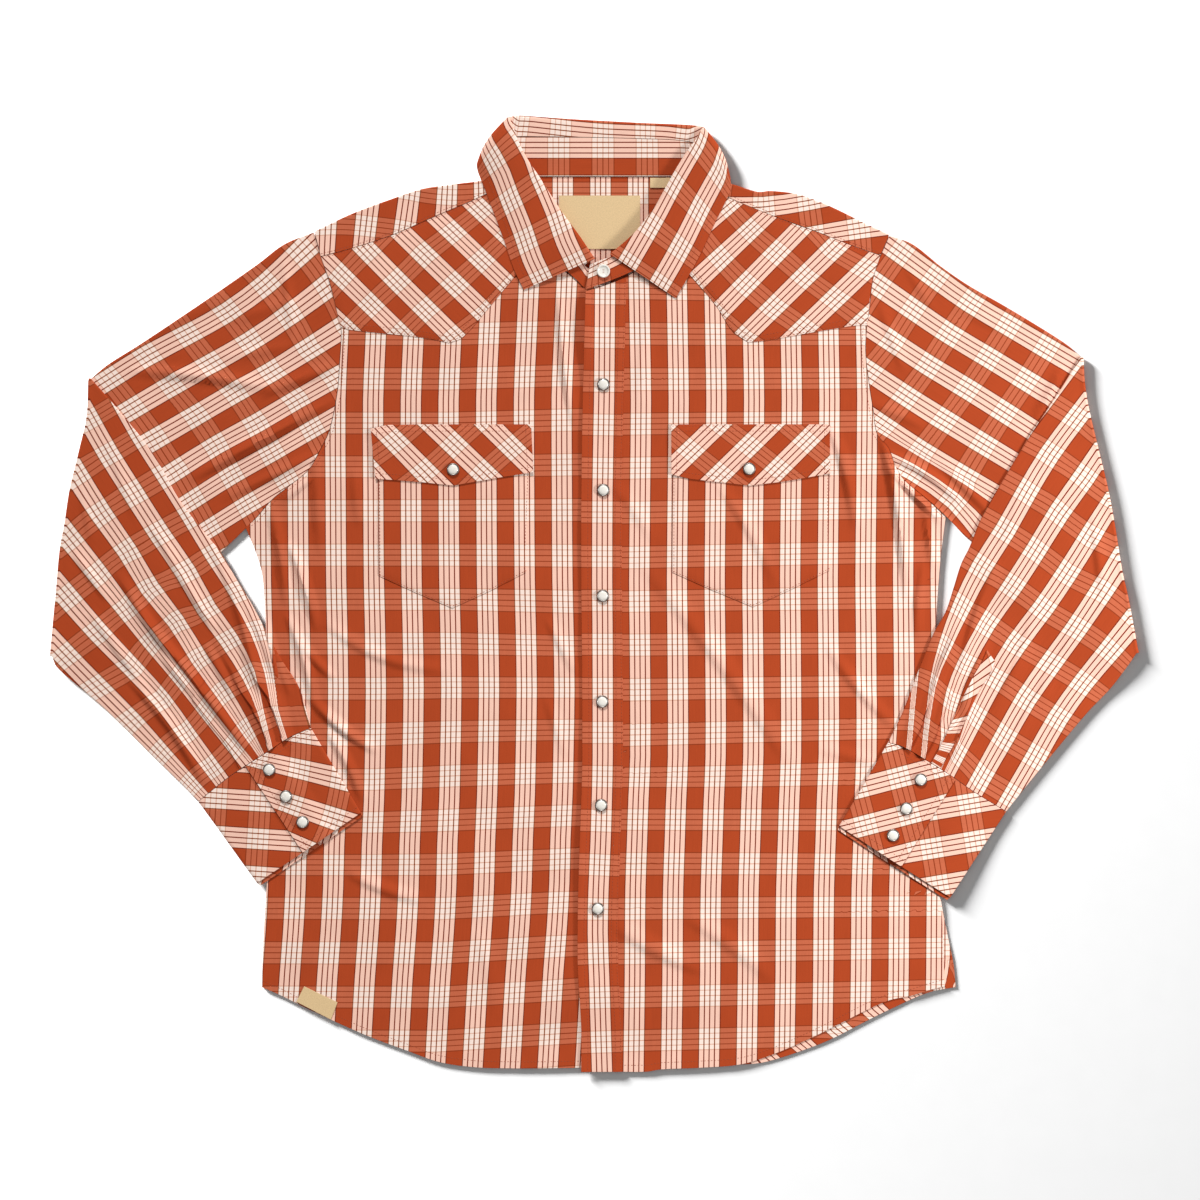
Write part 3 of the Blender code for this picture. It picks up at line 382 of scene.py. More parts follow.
LEFT_SLEEVE_TOP = [(265, 322), (286, 313), (309.5, 294.5), (335.5, 276.5), (367, 258.5), (397, 240.5),
                   (425, 222.5), (440, 212)]
LEFT_SLEEVE_UNDER = [(316, 69), (338, 47), (380, 20), (489.5, -54)]
LEFT_ELBOW_FOLD = [(440, 212), (441, 192), (444, 170), (454, 127), (462, 94), (468, 62), (475, 19),
                   (480, -3), (486, -35), (489.5, -54)]
FRONT_HEM_RIGHT = [(-299, -355), (-283, -362), (-261, -373), (-230, -387.5), (-200, -400.5), (-169, -412),
                   (-139, -422.5), (-108, -427), (-77, -428), (-47, -428), (16, -427)]
FRONT_HEM_LEFT = [(16.5, -431), (47, -431), (59, -429), (94, -427.5), (131, -424.5), (159, -416),
                  (194, -401), (228, -384), (248, -374), (266, -366.5), (284, -363), (300, -358),
                  (315, -354)]
TABLE_OUTLINE = (
    RIGHT_SHOULDER[::-1] + RIGHT_SLEEVE_TOP[1:] + RIGHT_ELBOW_FOLD[1:] + RIGHT_SLEEVE_UNDER[-2:0:-1]
    + RIGHT_SIDE + FRONT_HEM_RIGHT[1:] + FRONT_HEM_LEFT + LEFT_SIDE[-2::-1] + LEFT_SLEEVE_UNDER[1:]
    + LEFT_ELBOW_FOLD[-2::-1] + LEFT_SLEEVE_TOP[-2::-1] + LEFT_SHOULDER[-2::-1])
OUTLINE_GRID = 5.0
outline_known = {}


def smooth(value):
    """Ease from 0 to 1 as the value goes from 0 to 1."""
    value = min(1.0, max(0.0, value))
    return value * value * (3 - 2 * value)


def between(a, b, share):
    """The place at a share of the way from a to b."""
    return tuple(p + (q - p) * share for p, q in zip(a, b))


def inside_distance(x, y):
    """Distance in from the edge of body and upper sleeves, below zero outside it, read from a grid."""
    def at(i, j):
        if (i, j) not in outline_known:
            nearest, inside = 1e9, False
            px, py = i * OUTLINE_GRID, j * OUTLINE_GRID
            for (ax, ay), (bx, by) in zip(TABLE_OUTLINE, TABLE_OUTLINE[1:] + TABLE_OUTLINE[:1]):
                dx, dy = bx - ax, by - ay
                size = dx * dx + dy * dy
                t = min(1.0, max(0.0, ((px - ax) * dx + (py - ay) * dy) / size)) if size else 0.0
                nearest = min(nearest, hypot(ax + t * dx - px, ay + t * dy - py))
                if (ay > py) != (by > py) and px < ax + (py - ay) * dx / dy:
                    inside = not inside
            outline_known[i, j] = nearest if inside else -nearest
        return outline_known[i, j]

    i, j = int(x // OUTLINE_GRID), int(y // OUTLINE_GRID)
    u, v = x / OUTLINE_GRID - i, y / OUTLINE_GRID - j
    low = at(i, j) * (1 - u) + at(i + 1, j) * u
    high = at(i, j + 1) * (1 - u) + at(i + 1, j + 1) * u
    return low * (1 - v) + high * v


def loft(x, y):
    """Air under the upper ply: none at the folded edges and seams, full well inside them."""
    return LOFT * smooth((inside_distance(x, y) - LOFT_INSET) / LOFT_RUN)


SHOULDER_STEPS, NECK_STEPS, STRIP_STEPS = 44, 30, 10
TURN_ANGLES = range(15, 181, 15)  # degrees, as cloth turns over at a fold
SHOULDER_TURN = (OVER_MID - BACK_MID) / 2
SHOULDER_INSET = SHOULDER_TURN + WALL / 2
shoulders = [stations(RIGHT_SHOULDER, SHOULDER_STEPS), stations(LEFT_SHOULDER, SHOULDER_STEPS)]
shoulder_folds = [shifted(places, -SHOULDER_INSET) for places in shoulders]
neck_places = [between((-84, 373.9), (97, 373.9), k / NECK_STEPS) for k in range(1, NECK_STEPS)]
yoke_far = shoulder_folds[0] + neck_places + shoulder_folds[1]
yoke_near = matching([right_arm[YOKE_ARM_STEPS]] + BACK_YOKE_POINT + [left_arm[YOKE_ARM_STEPS]], yoke_far)
yoke_flat = patch(right_arm[YOKE_ARM_STEPS::-1][:-1] + [yoke_far[0]],
                  left_arm[YOKE_ARM_STEPS::-1][:-1] + [yoke_far[-1]], yoke_near, yoke_far)
yoke_rows = raised(yoke_flat, lambda x, y: BACK_MID)
yoke_check = check_through({0: [(5.4, 400, 11.02), (5.4, 200, 6)]})
yoke_check_rows = on_check(yoke_rows, yoke_check)
right_shoulder_check = check_through({
    0: [(-241.7, 331, 0), (-240, 370, 1)], 1: [(-205.4, 329.4, 0), (-200.9, 366.5, 1)],
    2: [(-171, 325, 0), (-165.5, 362, 1)], 3: [(-134.6, 320, 0), (-132.5, 357.5, 1)]})
left_shoulder_check = check_through({
    0: [(112, 345, -2), (152, 346.5, -1), (192.2, 352.4, 0), (231, 361, 1)],
    1: [(157, 313, -1), (196.2, 320.4, 0), (238.2, 327.4, 1), (276, 333, 2)]})
shoulder_strips = []
for angle in TURN_ANGLES:
    reach, rise = SHOULDER_TURN * sin(radians(angle)), SHOULDER_TURN * (1 - cos(radians(angle)))
    turned_edge = shifted(shoulder_folds[0], reach) + neck_places + shifted(shoulder_folds[1], reach)
    shoulder_strips.append([(x, y, BACK_MID + rise) for x, y in turned_edge])
seam_places = (shifted(stations(RIGHT_YOKE_SEAM, SHOULDER_STEPS), GAP) + neck_places
               + shifted(stations(LEFT_YOKE_SEAM, SHOULDER_STEPS), GAP))
for step in range(1, STRIP_STEPS + 1):
    strip = [between(a, b, step / STRIP_STEPS) for a, b in zip(yoke_far, seam_places)]
    shoulder_strips += raised([strip], lambda x, y: OVER_MID + loft(x, y))
yoke_rows += shoulder_strips
yoke_check_rows += [[(right_shoulder_check if place[0] < 0 else left_shoulder_check)(*place[:2])
                     for place in row] for row in shoulder_strips]


def over_neck(row, column):
    """Whether a cell of the yoke's grid spans the neck, where there is no cloth."""
    return row >= len(yoke_flat) - 1 and SHOULDER_STEPS <= column < SHOULDER_STEPS + NECK_STEPS


right_strip = [row[:SHOULDER_STEPS + 1] for row in shoulder_strips]
left_strip = [row[-SHOULDER_STEPS - 1:] for row in shoulder_strips]
sewn(cloth_piece("back_yoke_piece", yoke_rows, yoke_check_rows, without=over_neck), "back_yoke", (530, 260),
     cut_area(yoke_rows[:len(yoke_flat)]) + cut_area(right_strip) + cut_area(left_strip),
     rests_on=("front_right",))

# Cotton sewing thread, a little darker than the rust of the check.
thread, tree, shader = new_material("rust_cotton_thread")
place = new_node(tree, "ShaderNodeTexCoord")
strands = new_node(tree, "ShaderNodeTexNoise", {"Vector": place.outputs["Object"], "Scale": 700.0})
dyed = new_node(tree, "ShaderNodeMix", {0: strands.outputs["Fac"], 6: linear("7E2E14"), 7: linear("B65A38")},
                data_type="RGBA")
tree.links.new(dyed.outputs[2], shader.inputs["Base Color"])
shader.inputs["Roughness"].default_value = 0.6
# a stitch's length, width and height, and from one to the next: stouter than real ones, so that they show
STITCH, STITCH_REPEAT = (2.0, 0.42, 0.3), 3.0


def stitching(name, lines, wall=CLOTH):
    """Rows of stitches along lines on the middle of a ply: each stitch a short spindle lying on its face."""
    length, width, height = STITCH
    verts, faces = [], []
    for line in lines:
        left = STITCH_REPEAT / 2
        for a, b in zip(line, line[1:]):
            a, b = Vector(a), Vector(b)
            step = (b - a).length
            while left < step:
                way = (b - a) / step
                over = Vector((-way.y, way.x, 0)).normalized() * width / 2
                up = Vector((0, 0, height / 2))
                middle = a + way * left + Vector((0, 0, wall / 2 + height / 4))
                first = len(verts)
                verts += [middle - way * length / 2 - up, middle + way * length / 2 - up]
                for reach in (-0.3, 0.3):
                    verts += [middle + way * length * reach + side for side in (over, up, -over, -up)]
                for k in range(4):
                    n = (k + 1) % 4
                    faces += [(first, first + 2 + n, first + 2 + k),
                              (first + 1, first + 6 + k, first + 6 + n),
                              (first + 2 + k, first + 2 + n, first + 6 + n, first + 6 + k)]
                left += STITCH_REPEAT
            left -= step
    mesh = bpy.data.meshes.new(name)
    mesh.from_pydata([(vert - PLAN_MIDDLE) * MM for vert in verts], [], faces)
    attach(finished(name, mesh, thread), "root")


SHOULDER_ROW = 2.0
for side, strip in (("right", right_strip[-1]), ("left", left_strip[-1])):
    line = [(x, y, z) for (x, y), (_, _, z) in zip(shifted(strip, SHOULDER_ROW), strip)]
    stitching("shoulder_stitches_" + side, [line])

# -----------------------------------------------------------------------------------------------------------
# Fronts: two panels of the checked cotton with the stripes upright, sewn into the side seams and under the
# yokes.  They lie on the back with a little air between, and sag into soft creases at the armholes and down
# the sides.
BAND_EDGE = [(-8, 270.5), (-11, 150), (-12, 47), (-11, -147), (-13.5, -232), (-15, -285), (-15, -337),
             (-12, -390), (-12, -431)]
LAP_UNDER = 28.0  # the right front reaches this far under the band
BODY_CREASES = [
    # start, end, half width, height, bow
    ((-291.6, 82.8), (-276.3, -11.7), 6.4, 4, 3), ((-273.6, 46.8), (-248.4, -34.2), 6.4, 4.8, 2),
    ((-298.8, -18), (-279.9, -101.7), 5.6, 5, 2), ((-275.4, -18), (-250.2, -101.7), 6.4, 4.2, 3),
    ((-244.8, -23.4), (-129.6, -68.4), 8, 2.2, -11), ((-262.8, -43.2), (-232.2, -77.4), 5.6, 2.7, -2),
    ((-257.4, -90.9), (-194.4, -142.2), 6.4, 4.2, -4), ((-239.4, -122.4), (-207, -187.2), 6.4, 3.4, 3),
    ((-41.4, -20.7), (-16.2, -72), 7.2, 1.8, 0), ((-41.4, -92.7), (-25.2, -146.7), 7.2, 1.4, 0),
    ((-250.2, 136.8), (-244.8, 33.3), 7.2, 3, 0), ((-214.2, 113.4), (-210.6, 60.3), 7.2, 2.1, 0),
    ((-280.8, 82.8), (-253.8, 106.2), 5.6, 2.7, 0), ((-224.1, -248.4), (-152.1, -275.4), 8, 2.4, -3),
    ((-102.6, -299.7), (-84.6, -385.2), 11.2, 1, 2), ((215.1, 150.3), (236.7, 55.8), 8, 3.3, 3),
    ((257.4, 150.3), (282.6, -7.2), 7.2, 5.4, 5), ((16.2, 100.8), (55.8, 46.8), 8.8, 1.4, 2),
    ((109.8, 102.6), (165.6, 6.3), 8, 2, 4), ((41.4, 33.3), (183.6, -158.4), 12, 2.4, 4),
    ((208.8, -43.2), (275.4, -122.4), 8, 2.5, -4), ((198.9, -137.7), (261.9, -153), 8, 1.3, 0),
    ((16.2, -293.4), (104.4, -338.4), 11, 2.2, -5), ((80.1, -286.2), (163.8, -347.4), 11, 2, 3),
    ((297.9, 28.8), (291.6, -43.2), 6.4, 2.7, -2), ((-30.6, 273.6), (-18, 150.3), 5.6, 3.9, -2),
    ((50.4, 262.8), (41.4, 154.8), 9.6, 1, 0), ((264, 114), (313, 64), 6, 4.5, 0),
    ((297, 84), (306, 20), 5, 3, 0),
]


def creased(x, y, creases):
    """Height at a place of soft creases and of the cloth's slight unevenness, mm.

    Each crease is its start, end, half width, height and bow.  It is steep to the right of its own direction,
    and falls off slowly to the left.
    """
    total = 0.3 * noise.noise((x / 34, y / 46, 0)) + 0.1 * noise.noise((x / 11, y / 15, 5))
    for (ax, ay), (bx, by), width, height, bow in creases:
        dx, dy = bx - ax, by - ay
        size = hypot(dx, dy)
        t = ((x - ax) * dx + (y - ay) * dy) / size / size
        if 0 < t < 1:
            away = ((y - ay) * dx - (x - ax) * dy) / size - bow * sin(pi * t)
            if abs(away) < width:
                off = away / width + 0.35
                total += height * sin(pi * t) ** 0.8 * cos(pi / 2 * off / (0.65 if off < 0 else 1.35)) ** 2
    return total


def front_height(x, y):
    """Height of the middle of a front's ply."""
    return max(WALL + GAP / 2 + CLOTH / 2, FRONT_MID + loft(x, y) + creased(x, y, BODY_CREASES))


right_front_check = check_through({
    -4: [(-265.2, 213.3, 6.53), (-266.8, 172.8, 5.52), (-266.6, 91.8, 3.46), (-266.1, 11.7, 1.45),
         (-265.2, -27.9, 0.45), (-264.3, -88, -1.04), (-265.2, -151, -2.56), (-266.1, -189, -3.54),
         (-267.9, -227, -4.53), (-268.9, -266.4, -5.56), (-271.1, -306, -6.55), (-274.2, -345.6, -7.54),
         (-276.6, -385.2, -8.54)],
    -2: [(-197.4, 213.3, 6.53), (-199, 172.8, 5.52), (-198.8, 91.8, 3.46), (-198.3, 11.7, 1.45),
         (-197.4, -27.9, 0.45), (-196.5, -88, -1.04), (-197.4, -151, -2.56), (-198.3, -189, -3.54),
         (-200.1, -227, -4.53), (-201.1, -266.4, -5.56), (-203.3, -306, -6.55), (-206.4, -345.6, -7.54),
         (-208.8, -385.2, -8.54)],
    0: [(-129.6, 213.3, 6.53), (-131.2, 172.8, 5.52), (-131, 91.8, 3.46), (-130.5, 11.7, 1.45),
        (-129.6, -27.9, 0.45), (-128.7, -87, -1.04), (-129.6, -147.6, -2.56), (-130.5, -186.3, -3.54),
        (-132.3, -225.9, -4.53), (-133.3, -266.4, -5.56), (-135.5, -306, -6.55), (-138.6, -345.6, -7.54),
        (-141, -385.2, -8.54)],
    3: [(-27.9, 216, 6.53), (-29.5, 175.8, 5.52), (-29.3, 93, 3.46), (-28.8, 10.5, 1.45),
        (-27.9, -30.9, 0.45), (-27, -87, -1.04), (-27.9, -144.8, -2.56), (-28.8, -182.8, -3.54),
        (-30.6, -221.6, -4.53), (-31.6, -261.4, -5.56), (-33.8, -300.4, -6.55), (-36.9, -339.8, -7.54),
        (-39.3, -379.2, -8.54)]})
left_front_check = check_through({
    0: [(109, 213.3, 6.53), (109.6, 172.8, 5.52), (108.8, 91.8, 3.46), (108, 11.7, 1.47),
        (108.4, -27.9, 0.47), (108.9, -87, -1.02), (108.9, -147.6, -2.54), (107.3, -185.5, -3.52),
        (106, -224.6, -4.52), (104.6, -265.5, -5.54), (104.2, -305, -6.54), (104, -344, -7.53),
        (103.5, -383, -8.53)],
    2: [(176.8, 213.3, 6.53), (177.4, 173.5, 5.52), (176.6, 93, 3.46), (175.8, 13.2, 1.47),
        (176.2, -27.4, 0.47), (176.7, -86, -1.02), (176.7, -145.5, -2.54), (175.1, -185.2, -3.52),
        (173.8, -225, -4.52), (172.4, -265.2, -5.54), (172, -304, -6.54), (171.8, -342.5, -7.53),
        (171.3, -381.4, -8.53)]})
EDGE_ROW, SECOND_ROW, ARM_ROW = 1.5, 6, 3  # rows of stitches, this far in from a piece's edge


def set_in(places, side, inset):
    """A line along a side of a piece's grid, set in from its edge."""
    ways = {"left": places, "right": [row[::-1] for row in places], "top": list(zip(*places)),
            "bottom": [column[::-1] for column in zip(*places)]}[side]
    line = []
    for way in ways:
        left = inset
        for a, b in zip(way, way[1:]):
            step = hypot(b[0] - a[0], b[1] - a[1])
            if left <= step:
                line.append(between(a, b, left / step))
                break
            left -= step
    return line


def front(name, node, arm, side, centre, shoulder, neckline, hem, check):
    """One front: from under the shoulder strip to the hem, and from the armhole and side to the centre."""
    outer = [between(arm[0], arm[1], 0.4)] + arm[1:] + stations(side, 160)[1:]
    top = stations(shoulder, 76) + stations(neckline, 50)[1:]
    places = raised(patch(outer, matching(centre, outer), top, matching(hem, top)), front_height)
    sewn(cloth_piece(name, places, on_check(places, check)), node, (345, 810), cut_area(places))
    stitching(name + "_stitches", [set_in(places, "bottom", SECOND_ROW),
                                   set_in(places[:ARM_STEPS + 1], "left", ARM_ROW)])


band_under = [(x + LAP_UNDER, y) for x, y in BAND_EDGE]
front("front_panel_right", "front_right", right_arm, RIGHT_SIDE,
     [(18, 274)] + band_under[1:-1] + [(16, -427)],
      [between(right_arm[0], right_arm[1], 0.4), (-219, 317.5), (-183, 329.5), (-149, 344), (-116, 358),
       (-90, 369)],
      [(-90, 369), (-82, 350), (-68, 329), (-45, 306), (-20, 284), (18, 274)],
      FRONT_HEM_RIGHT, right_front_check)
front("front_panel_left", "front_left", left_arm, LEFT_SIDE,
      [(19, 278)] + [(x + 0.5, y) for x, y in band_under[1:-1]] + [(16.5, -431)],
      [between(left_arm[0], left_arm[1], 0.4), (228, 319.5), (192, 333.5), (160, 345), (129, 357.5),
       (104, 369)],
      [(104, 369), (97, 350), (85, 331), (66, 309), (45, 294), (19, 278)],
      FRONT_HEM_LEFT[::-1], left_front_check)


# -----------------------------------------------------------------------------------------------------------
# Front yokes: two pointed pieces of the same cotton cut on the bias, so their stripes run slantwise.  Each
# is laid over its front with its lower edge turned in, and topstitched.
DRAWN_DOWN, DRAWN_RUN = 0.5, 5  # at a stitched edge, and how far in from it
PUCKER, PUCKER_RUN = 0.1, 10


def over_front(x, y):
    """Height of the middle of a ply that lies on a front."""
    return front_height(x, y) + OVER_MID - FRONT_MID


def stitched_down(places, *sides):
    """A piece's grid with its stitched sides drawn down on the cloth below, and a little puckered."""
    rows, columns = range(len(places)), range(len(places[0]))
    ways = {"top": [[(row, column) for row in rows] for column in columns],
            "bottom": [[(row, column) for row in rows[::-1]] for column in columns],
            "left": [[(row, column) for column in columns] for row in rows],
            "right": [[(row, column) for column in columns[::-1]] for row in rows]}
    drops = {}
    for side in sides:
        for number, way in enumerate(ways[side]):
            edge = places[way[0][0]][way[0][1]]
            for row, column in way:
                away = hypot(places[row][column][0] - edge[0], places[row][column][1] - edge[1])
                if away > PUCKER_RUN:
                    break
                uneven = 1 + sin(1.9 * number + 3 * sin(0.23 * number))
                drop = DRAWN_DOWN * (1 - smooth(away / DRAWN_RUN))
                drop += PUCKER * (1 - smooth(away / PUCKER_RUN)) * uneven
                drops[row, column] = max(drops.get((row, column), 0), drop)
    return [[(x, y, z - drops.get((row, column), 0)) for column, (x, y, z) in enumerate(places[row])]
            for row in rows]


YOKE_STEPS = 44
right_yoke_top, left_yoke_top = stations(RIGHT_YOKE_SEAM, 60), stations(LEFT_YOKE_SEAM, 60)
right_yoke_hem = (stations([(-228, 238.5), (-219, 236), (-154, 229), (-131, 224.5)], 30)
                  + stations([(-131, 224.5), (-119, 229), (-95, 256), (-72, 283.5), (-52, 304)], 30)[1:])
left_yoke_hem = (stations([(68, 306), (87, 284), (110, 257), (124, 235), (138, 225)], 30)
                 + stations([(138, 225), (151, 226), (203, 235), (235, 240), (245, 240)], 30)[1:])
for name, node, start, end, top, hem, check in (
        ("front_yoke_right", "yoke_right", [(-238, 279)], [(-84, 347), (-70, 326)],
         right_yoke_top, right_yoke_hem,
         check_through({-1: [(-227.1, 284.1, -1), (-200.6, 258.2, 0)],
                        0: [(-204.4, 307.4, -1), (-177.4, 279.3, 0), (-152, 253.9, 1)],
                        1: [(-153.1, 304.1, 0), (-125, 277.1, 1)],
                        2: [(-127.2, 323.6, 0), (-101.3, 298.7, 1)]})),
        ("front_yoke_left", "yoke_left", [(98, 347), (86, 328)], [(250, 281)],
         left_yoke_top, left_yoke_hem,
         check_through({0: [(215.9, 264, 0), (243.8, 290.7, 1)],
                        1: [(160.7, 256, -1), (189.1, 283.9, 0), (213.7, 307.8, 1)],
                        2: [(136.1, 277, -1), (163.4, 305.6, 0)],
                        3: [(113.3, 300.4, -1), (140.1, 325.5, 0)]}))):
    places = stitched_down(raised(patch(
        stations([top[0], *start, hem[0]], YOKE_STEPS), stations([top[-1], *end, hem[-1]], YOKE_STEPS),
        top, hem), over_front), "top", "bottom", "left", "right")
    stitching(name + "_stitches", [set_in(places, side, inset) for side, inset in (
        ("top", EDGE_ROW), ("bottom", EDGE_ROW), ("bottom", SECOND_ROW))])
    sewn(cloth_piece(name, places, on_check(places, check)), node, (200, 150), cut_area(places),
         rests_on=(name.replace("yoke", "panel"),))

# -----------------------------------------------------------------------------------------------------------
# Band: the strip of cotton down the middle that carries the snaps, sewn to the left front and lapped over
# the right.  It is turned under at both long edges and topstitched, and holds a light stripe down its
# middle.
BAND_WIDTH, BAND_ROW = 36.5, 1.2
FIRST_SNAP, SNAP_REPEAT = 187, 95
LOOSE_PLACES = [(4.2, 238, 52), (1.4, -240, 120)]  # of its free edge: how far it stands off, where, over what
SPRUNG_RUN = 11  # from the free edge to where the band lies flat
band_left = stations(BAND_EDGE, 230)
band_right = [(x + BAND_WIDTH, y) for x, y in band_left]
band_right[0] = (28.5, 283.5)
band_check = check_through({0: [(9, 213.3, 6.6), (8.6, 172.8, 5.57), (7.2, 91.8, 3.49), (6.9, 11.7, 1.48),
                                (7.2, -27.9, 0.47), (7.4, -147.6, -2.55), (6.6, -186.3, -3.53),
                                (5.4, -225.9, -4.52), (3.6, -266.4, -5.55), (2.9, -306, -6.54),
                                (4.2, -345.6, -7.54), (5.4, -385.2, -8.53)]})
places = raised(patch(band_left, band_right, stations([band_left[0], (11, 276.5), band_right[0]], 20),
                      stations([band_left[-1], (6, -431), band_right[-1]], 20)), over_front)


def sprung(x, y, z, away):
    """The band's free edge stands off the front, most between the snaps and under the collar."""
    loose = 0.5 + 0.5 * sin(pi * (y - FIRST_SNAP) / SNAP_REPEAT) ** 2
    for height, middle, length in LOOSE_PLACES:
        loose += height * smooth(1 - abs(y - middle) / length)
    return x, y, z + loose * (1 - smooth(away / SPRUNG_RUN))


places = [[sprung(*place, hypot(place[0] - row[0][0], place[1] - row[0][1])) for place in row]
          for row in stitched_down(places, "right")]
stitching("snap_band_stitches", [set_in(places, side, inset) for side, inset in (
    ("left", SECOND_ROW), ("right", SECOND_ROW), ("right", BAND_ROW))])
sewn(cloth_piece("snap_band", places, on_check(places, band_check)), "front_band", (39, 716),
     cut_area(places), rests_on=("front_panel_right", "front_panel_left"))

SECOND_MID = OVER_MID + WALL + GAP
FLAP_ROW, EDGE_PARTS = 5, 12


def over_pocket(x, y):
    """Height of the middle of a ply that lies on a pocket."""
    return front_height(x, y) + SECOND_MID - FRONT_MID


for name, node, top, bottom, height, check, rests_on in (
        ("chest_pocket_right", "pocket_right",
         [(-195, 140), (-161, 140), (-127, 140), (-92, 140), (-57, 140)],
         [(-194, 15), (-161, 0), (-128, -14), (-95, 1), (-62, 18)], over_front,
         right_front_check, "front_panel_right"),
        ("chest_pocket_left", "pocket_left",
         [(70, 140), (105, 140), (140, 140), (175, 140), (211, 140)],
         [(70, 18), (106, 2), (142, -13), (177, 3), (211, 20)], over_front,
         left_front_check, "front_panel_left"),
        ("pocket_flap_right", "flap_right",
         [(-201, 147), (-186, 150.5), (-158, 151), (-127, 151), (-92, 151), (-57, 151)],
         [(-197, 102), (-180, 101), (-155, 99), (-127, 96), (-87, 103), (-55, 108)], over_pocket,
         check_through({0: [(-179, 135.5, 0), (-152.6, 108.5, 1)],
                        1: [(-126.1, 132.8, 1), (-99.6, 107.9, 2)],
                        2: [(-100.3, 156, 1), (-74.3, 130.1, 2)]}), "chest_pocket_right"),
        ("pocket_flap_left", "flap_left",
         [(69, 151), (100, 151), (139, 151), (170, 151), (190, 151), (211.5, 151)],
         [(69, 106), (86, 102), (139, 96), (165, 99), (190, 103), (211.5, 107)], over_pocket,
         check_through({0: [(165.3, 111.2, 1), (190.2, 136, 2)],
                        1: [(113, 106.3, 0), (138.9, 131.7, 1)],
                        2: [(86.5, 127.4, 0), (112, 152, 1)]}), "chest_pocket_left")):
    down = 44 if "chest" in name else 20
    sides = [[between(top[i], bottom[i], k / down) for k in range(down + 1)] for i in (0, -1)]
    top_places, foot_places = (
        [between(a, b, k / EDGE_PARTS) for a, b in zip(way, way[1:]) for k in range(EDGE_PARTS)] + [way[-1]]
        for way in (top, bottom))
    places = raised(patch(*sides, top_places, foot_places), height)
    if "chest" in name:
        places = stitched_down(places, "left", "right", "bottom")
        stitching(name + "_stitches",
                 [set_in(places, side, EDGE_ROW) for side in ("left", "right", "bottom")])
    else:
        places = stitched_down(places, "top")
        stitching(name + "_stitches", [set_in(places, "top", EDGE_ROW), set_in(places, "top", SECOND_ROW)]
                  + [set_in(places, side, FLAP_ROW) for side in ("left", "right", "bottom")])
    sewn(cloth_piece(name, places, on_check(places, check)), node, (146, 157 if "chest" in name else 56),
         cut_area(places), rests_on=(rests_on,))

# -----------------------------------------------------------------------------------------------------------
# Sleeves: each is one piece of the checked cotton, its stripes along the arm, closed by a seam under the
# arm.  It lies flat from the armhole, turns over itself at the elbow, and is pleated into its cuff beside
# the cuff's slit.
PLY_TURN = (FRONT_MID - BACK_MID) / 2
ELBOW_RADIUS = 0.9
SLEEVE_SEAM, PIT_RELIEF = 0.5, 0.08
REST_GAP, SLEEVE_AIR = 0.4, 1.0
DROOP_START, DROOP_RUN = 6.0, 48.0
PLEAT_HEIGHT, PLEAT_WIDTH = 4.4, 0.11
PLEAT_START, PLEAT_RUN, PLEAT_SLANT = 0.62, 0.3, 0.1  # shares of the forearm, and of its width
ACROSS, UPPER_STEPS, FOREARM_STEPS = 92, 70, 110
FOLD_ANGLES = (45, 90, 135)  # degrees, round a sleeve's long folds

RIGHT_FOREARM_INNER = [(-455.5, 192.5), (-429, 165), (-397, 125), (-373, 83), (-351, 54), (-337, 37),
                       (-324, 15), (-311, -6), (-299, -28), (-283, -58), (-265.5, -86), (-255, -122)]
RIGHT_FOREARM_OUTER = [(-490, -57), (-483, -67), (-461, -86.5), (-436.5, -108), (-393, -151), (-370.5, -173),
                       (-356, -188)]
LEFT_FOREARM_INNER = [(440, 212), (417, 179), (390, 138), (365, 97), (348, 67), (337, 40), (330, 26),
                      (323, 4), (316, -17), (305, -37), (293, -66), (277, -108), (264, -135)]
LEFT_FOREARM_OUTER = [(489.5, -54), (479, -66), (463.5, -86.5), (443, -108), (407, -151), (389, -173),
                      (370, -197)]
RIGHT_CUFF_SEAM = [(-255, -122), (-274, -130.5), (-293, -143), (-327, -165), (-356, -188)]
LEFT_CUFF_SEAM = [(264, -135), (277, -139), (298, -151), (319, -164), (342, -180), (370, -197)]

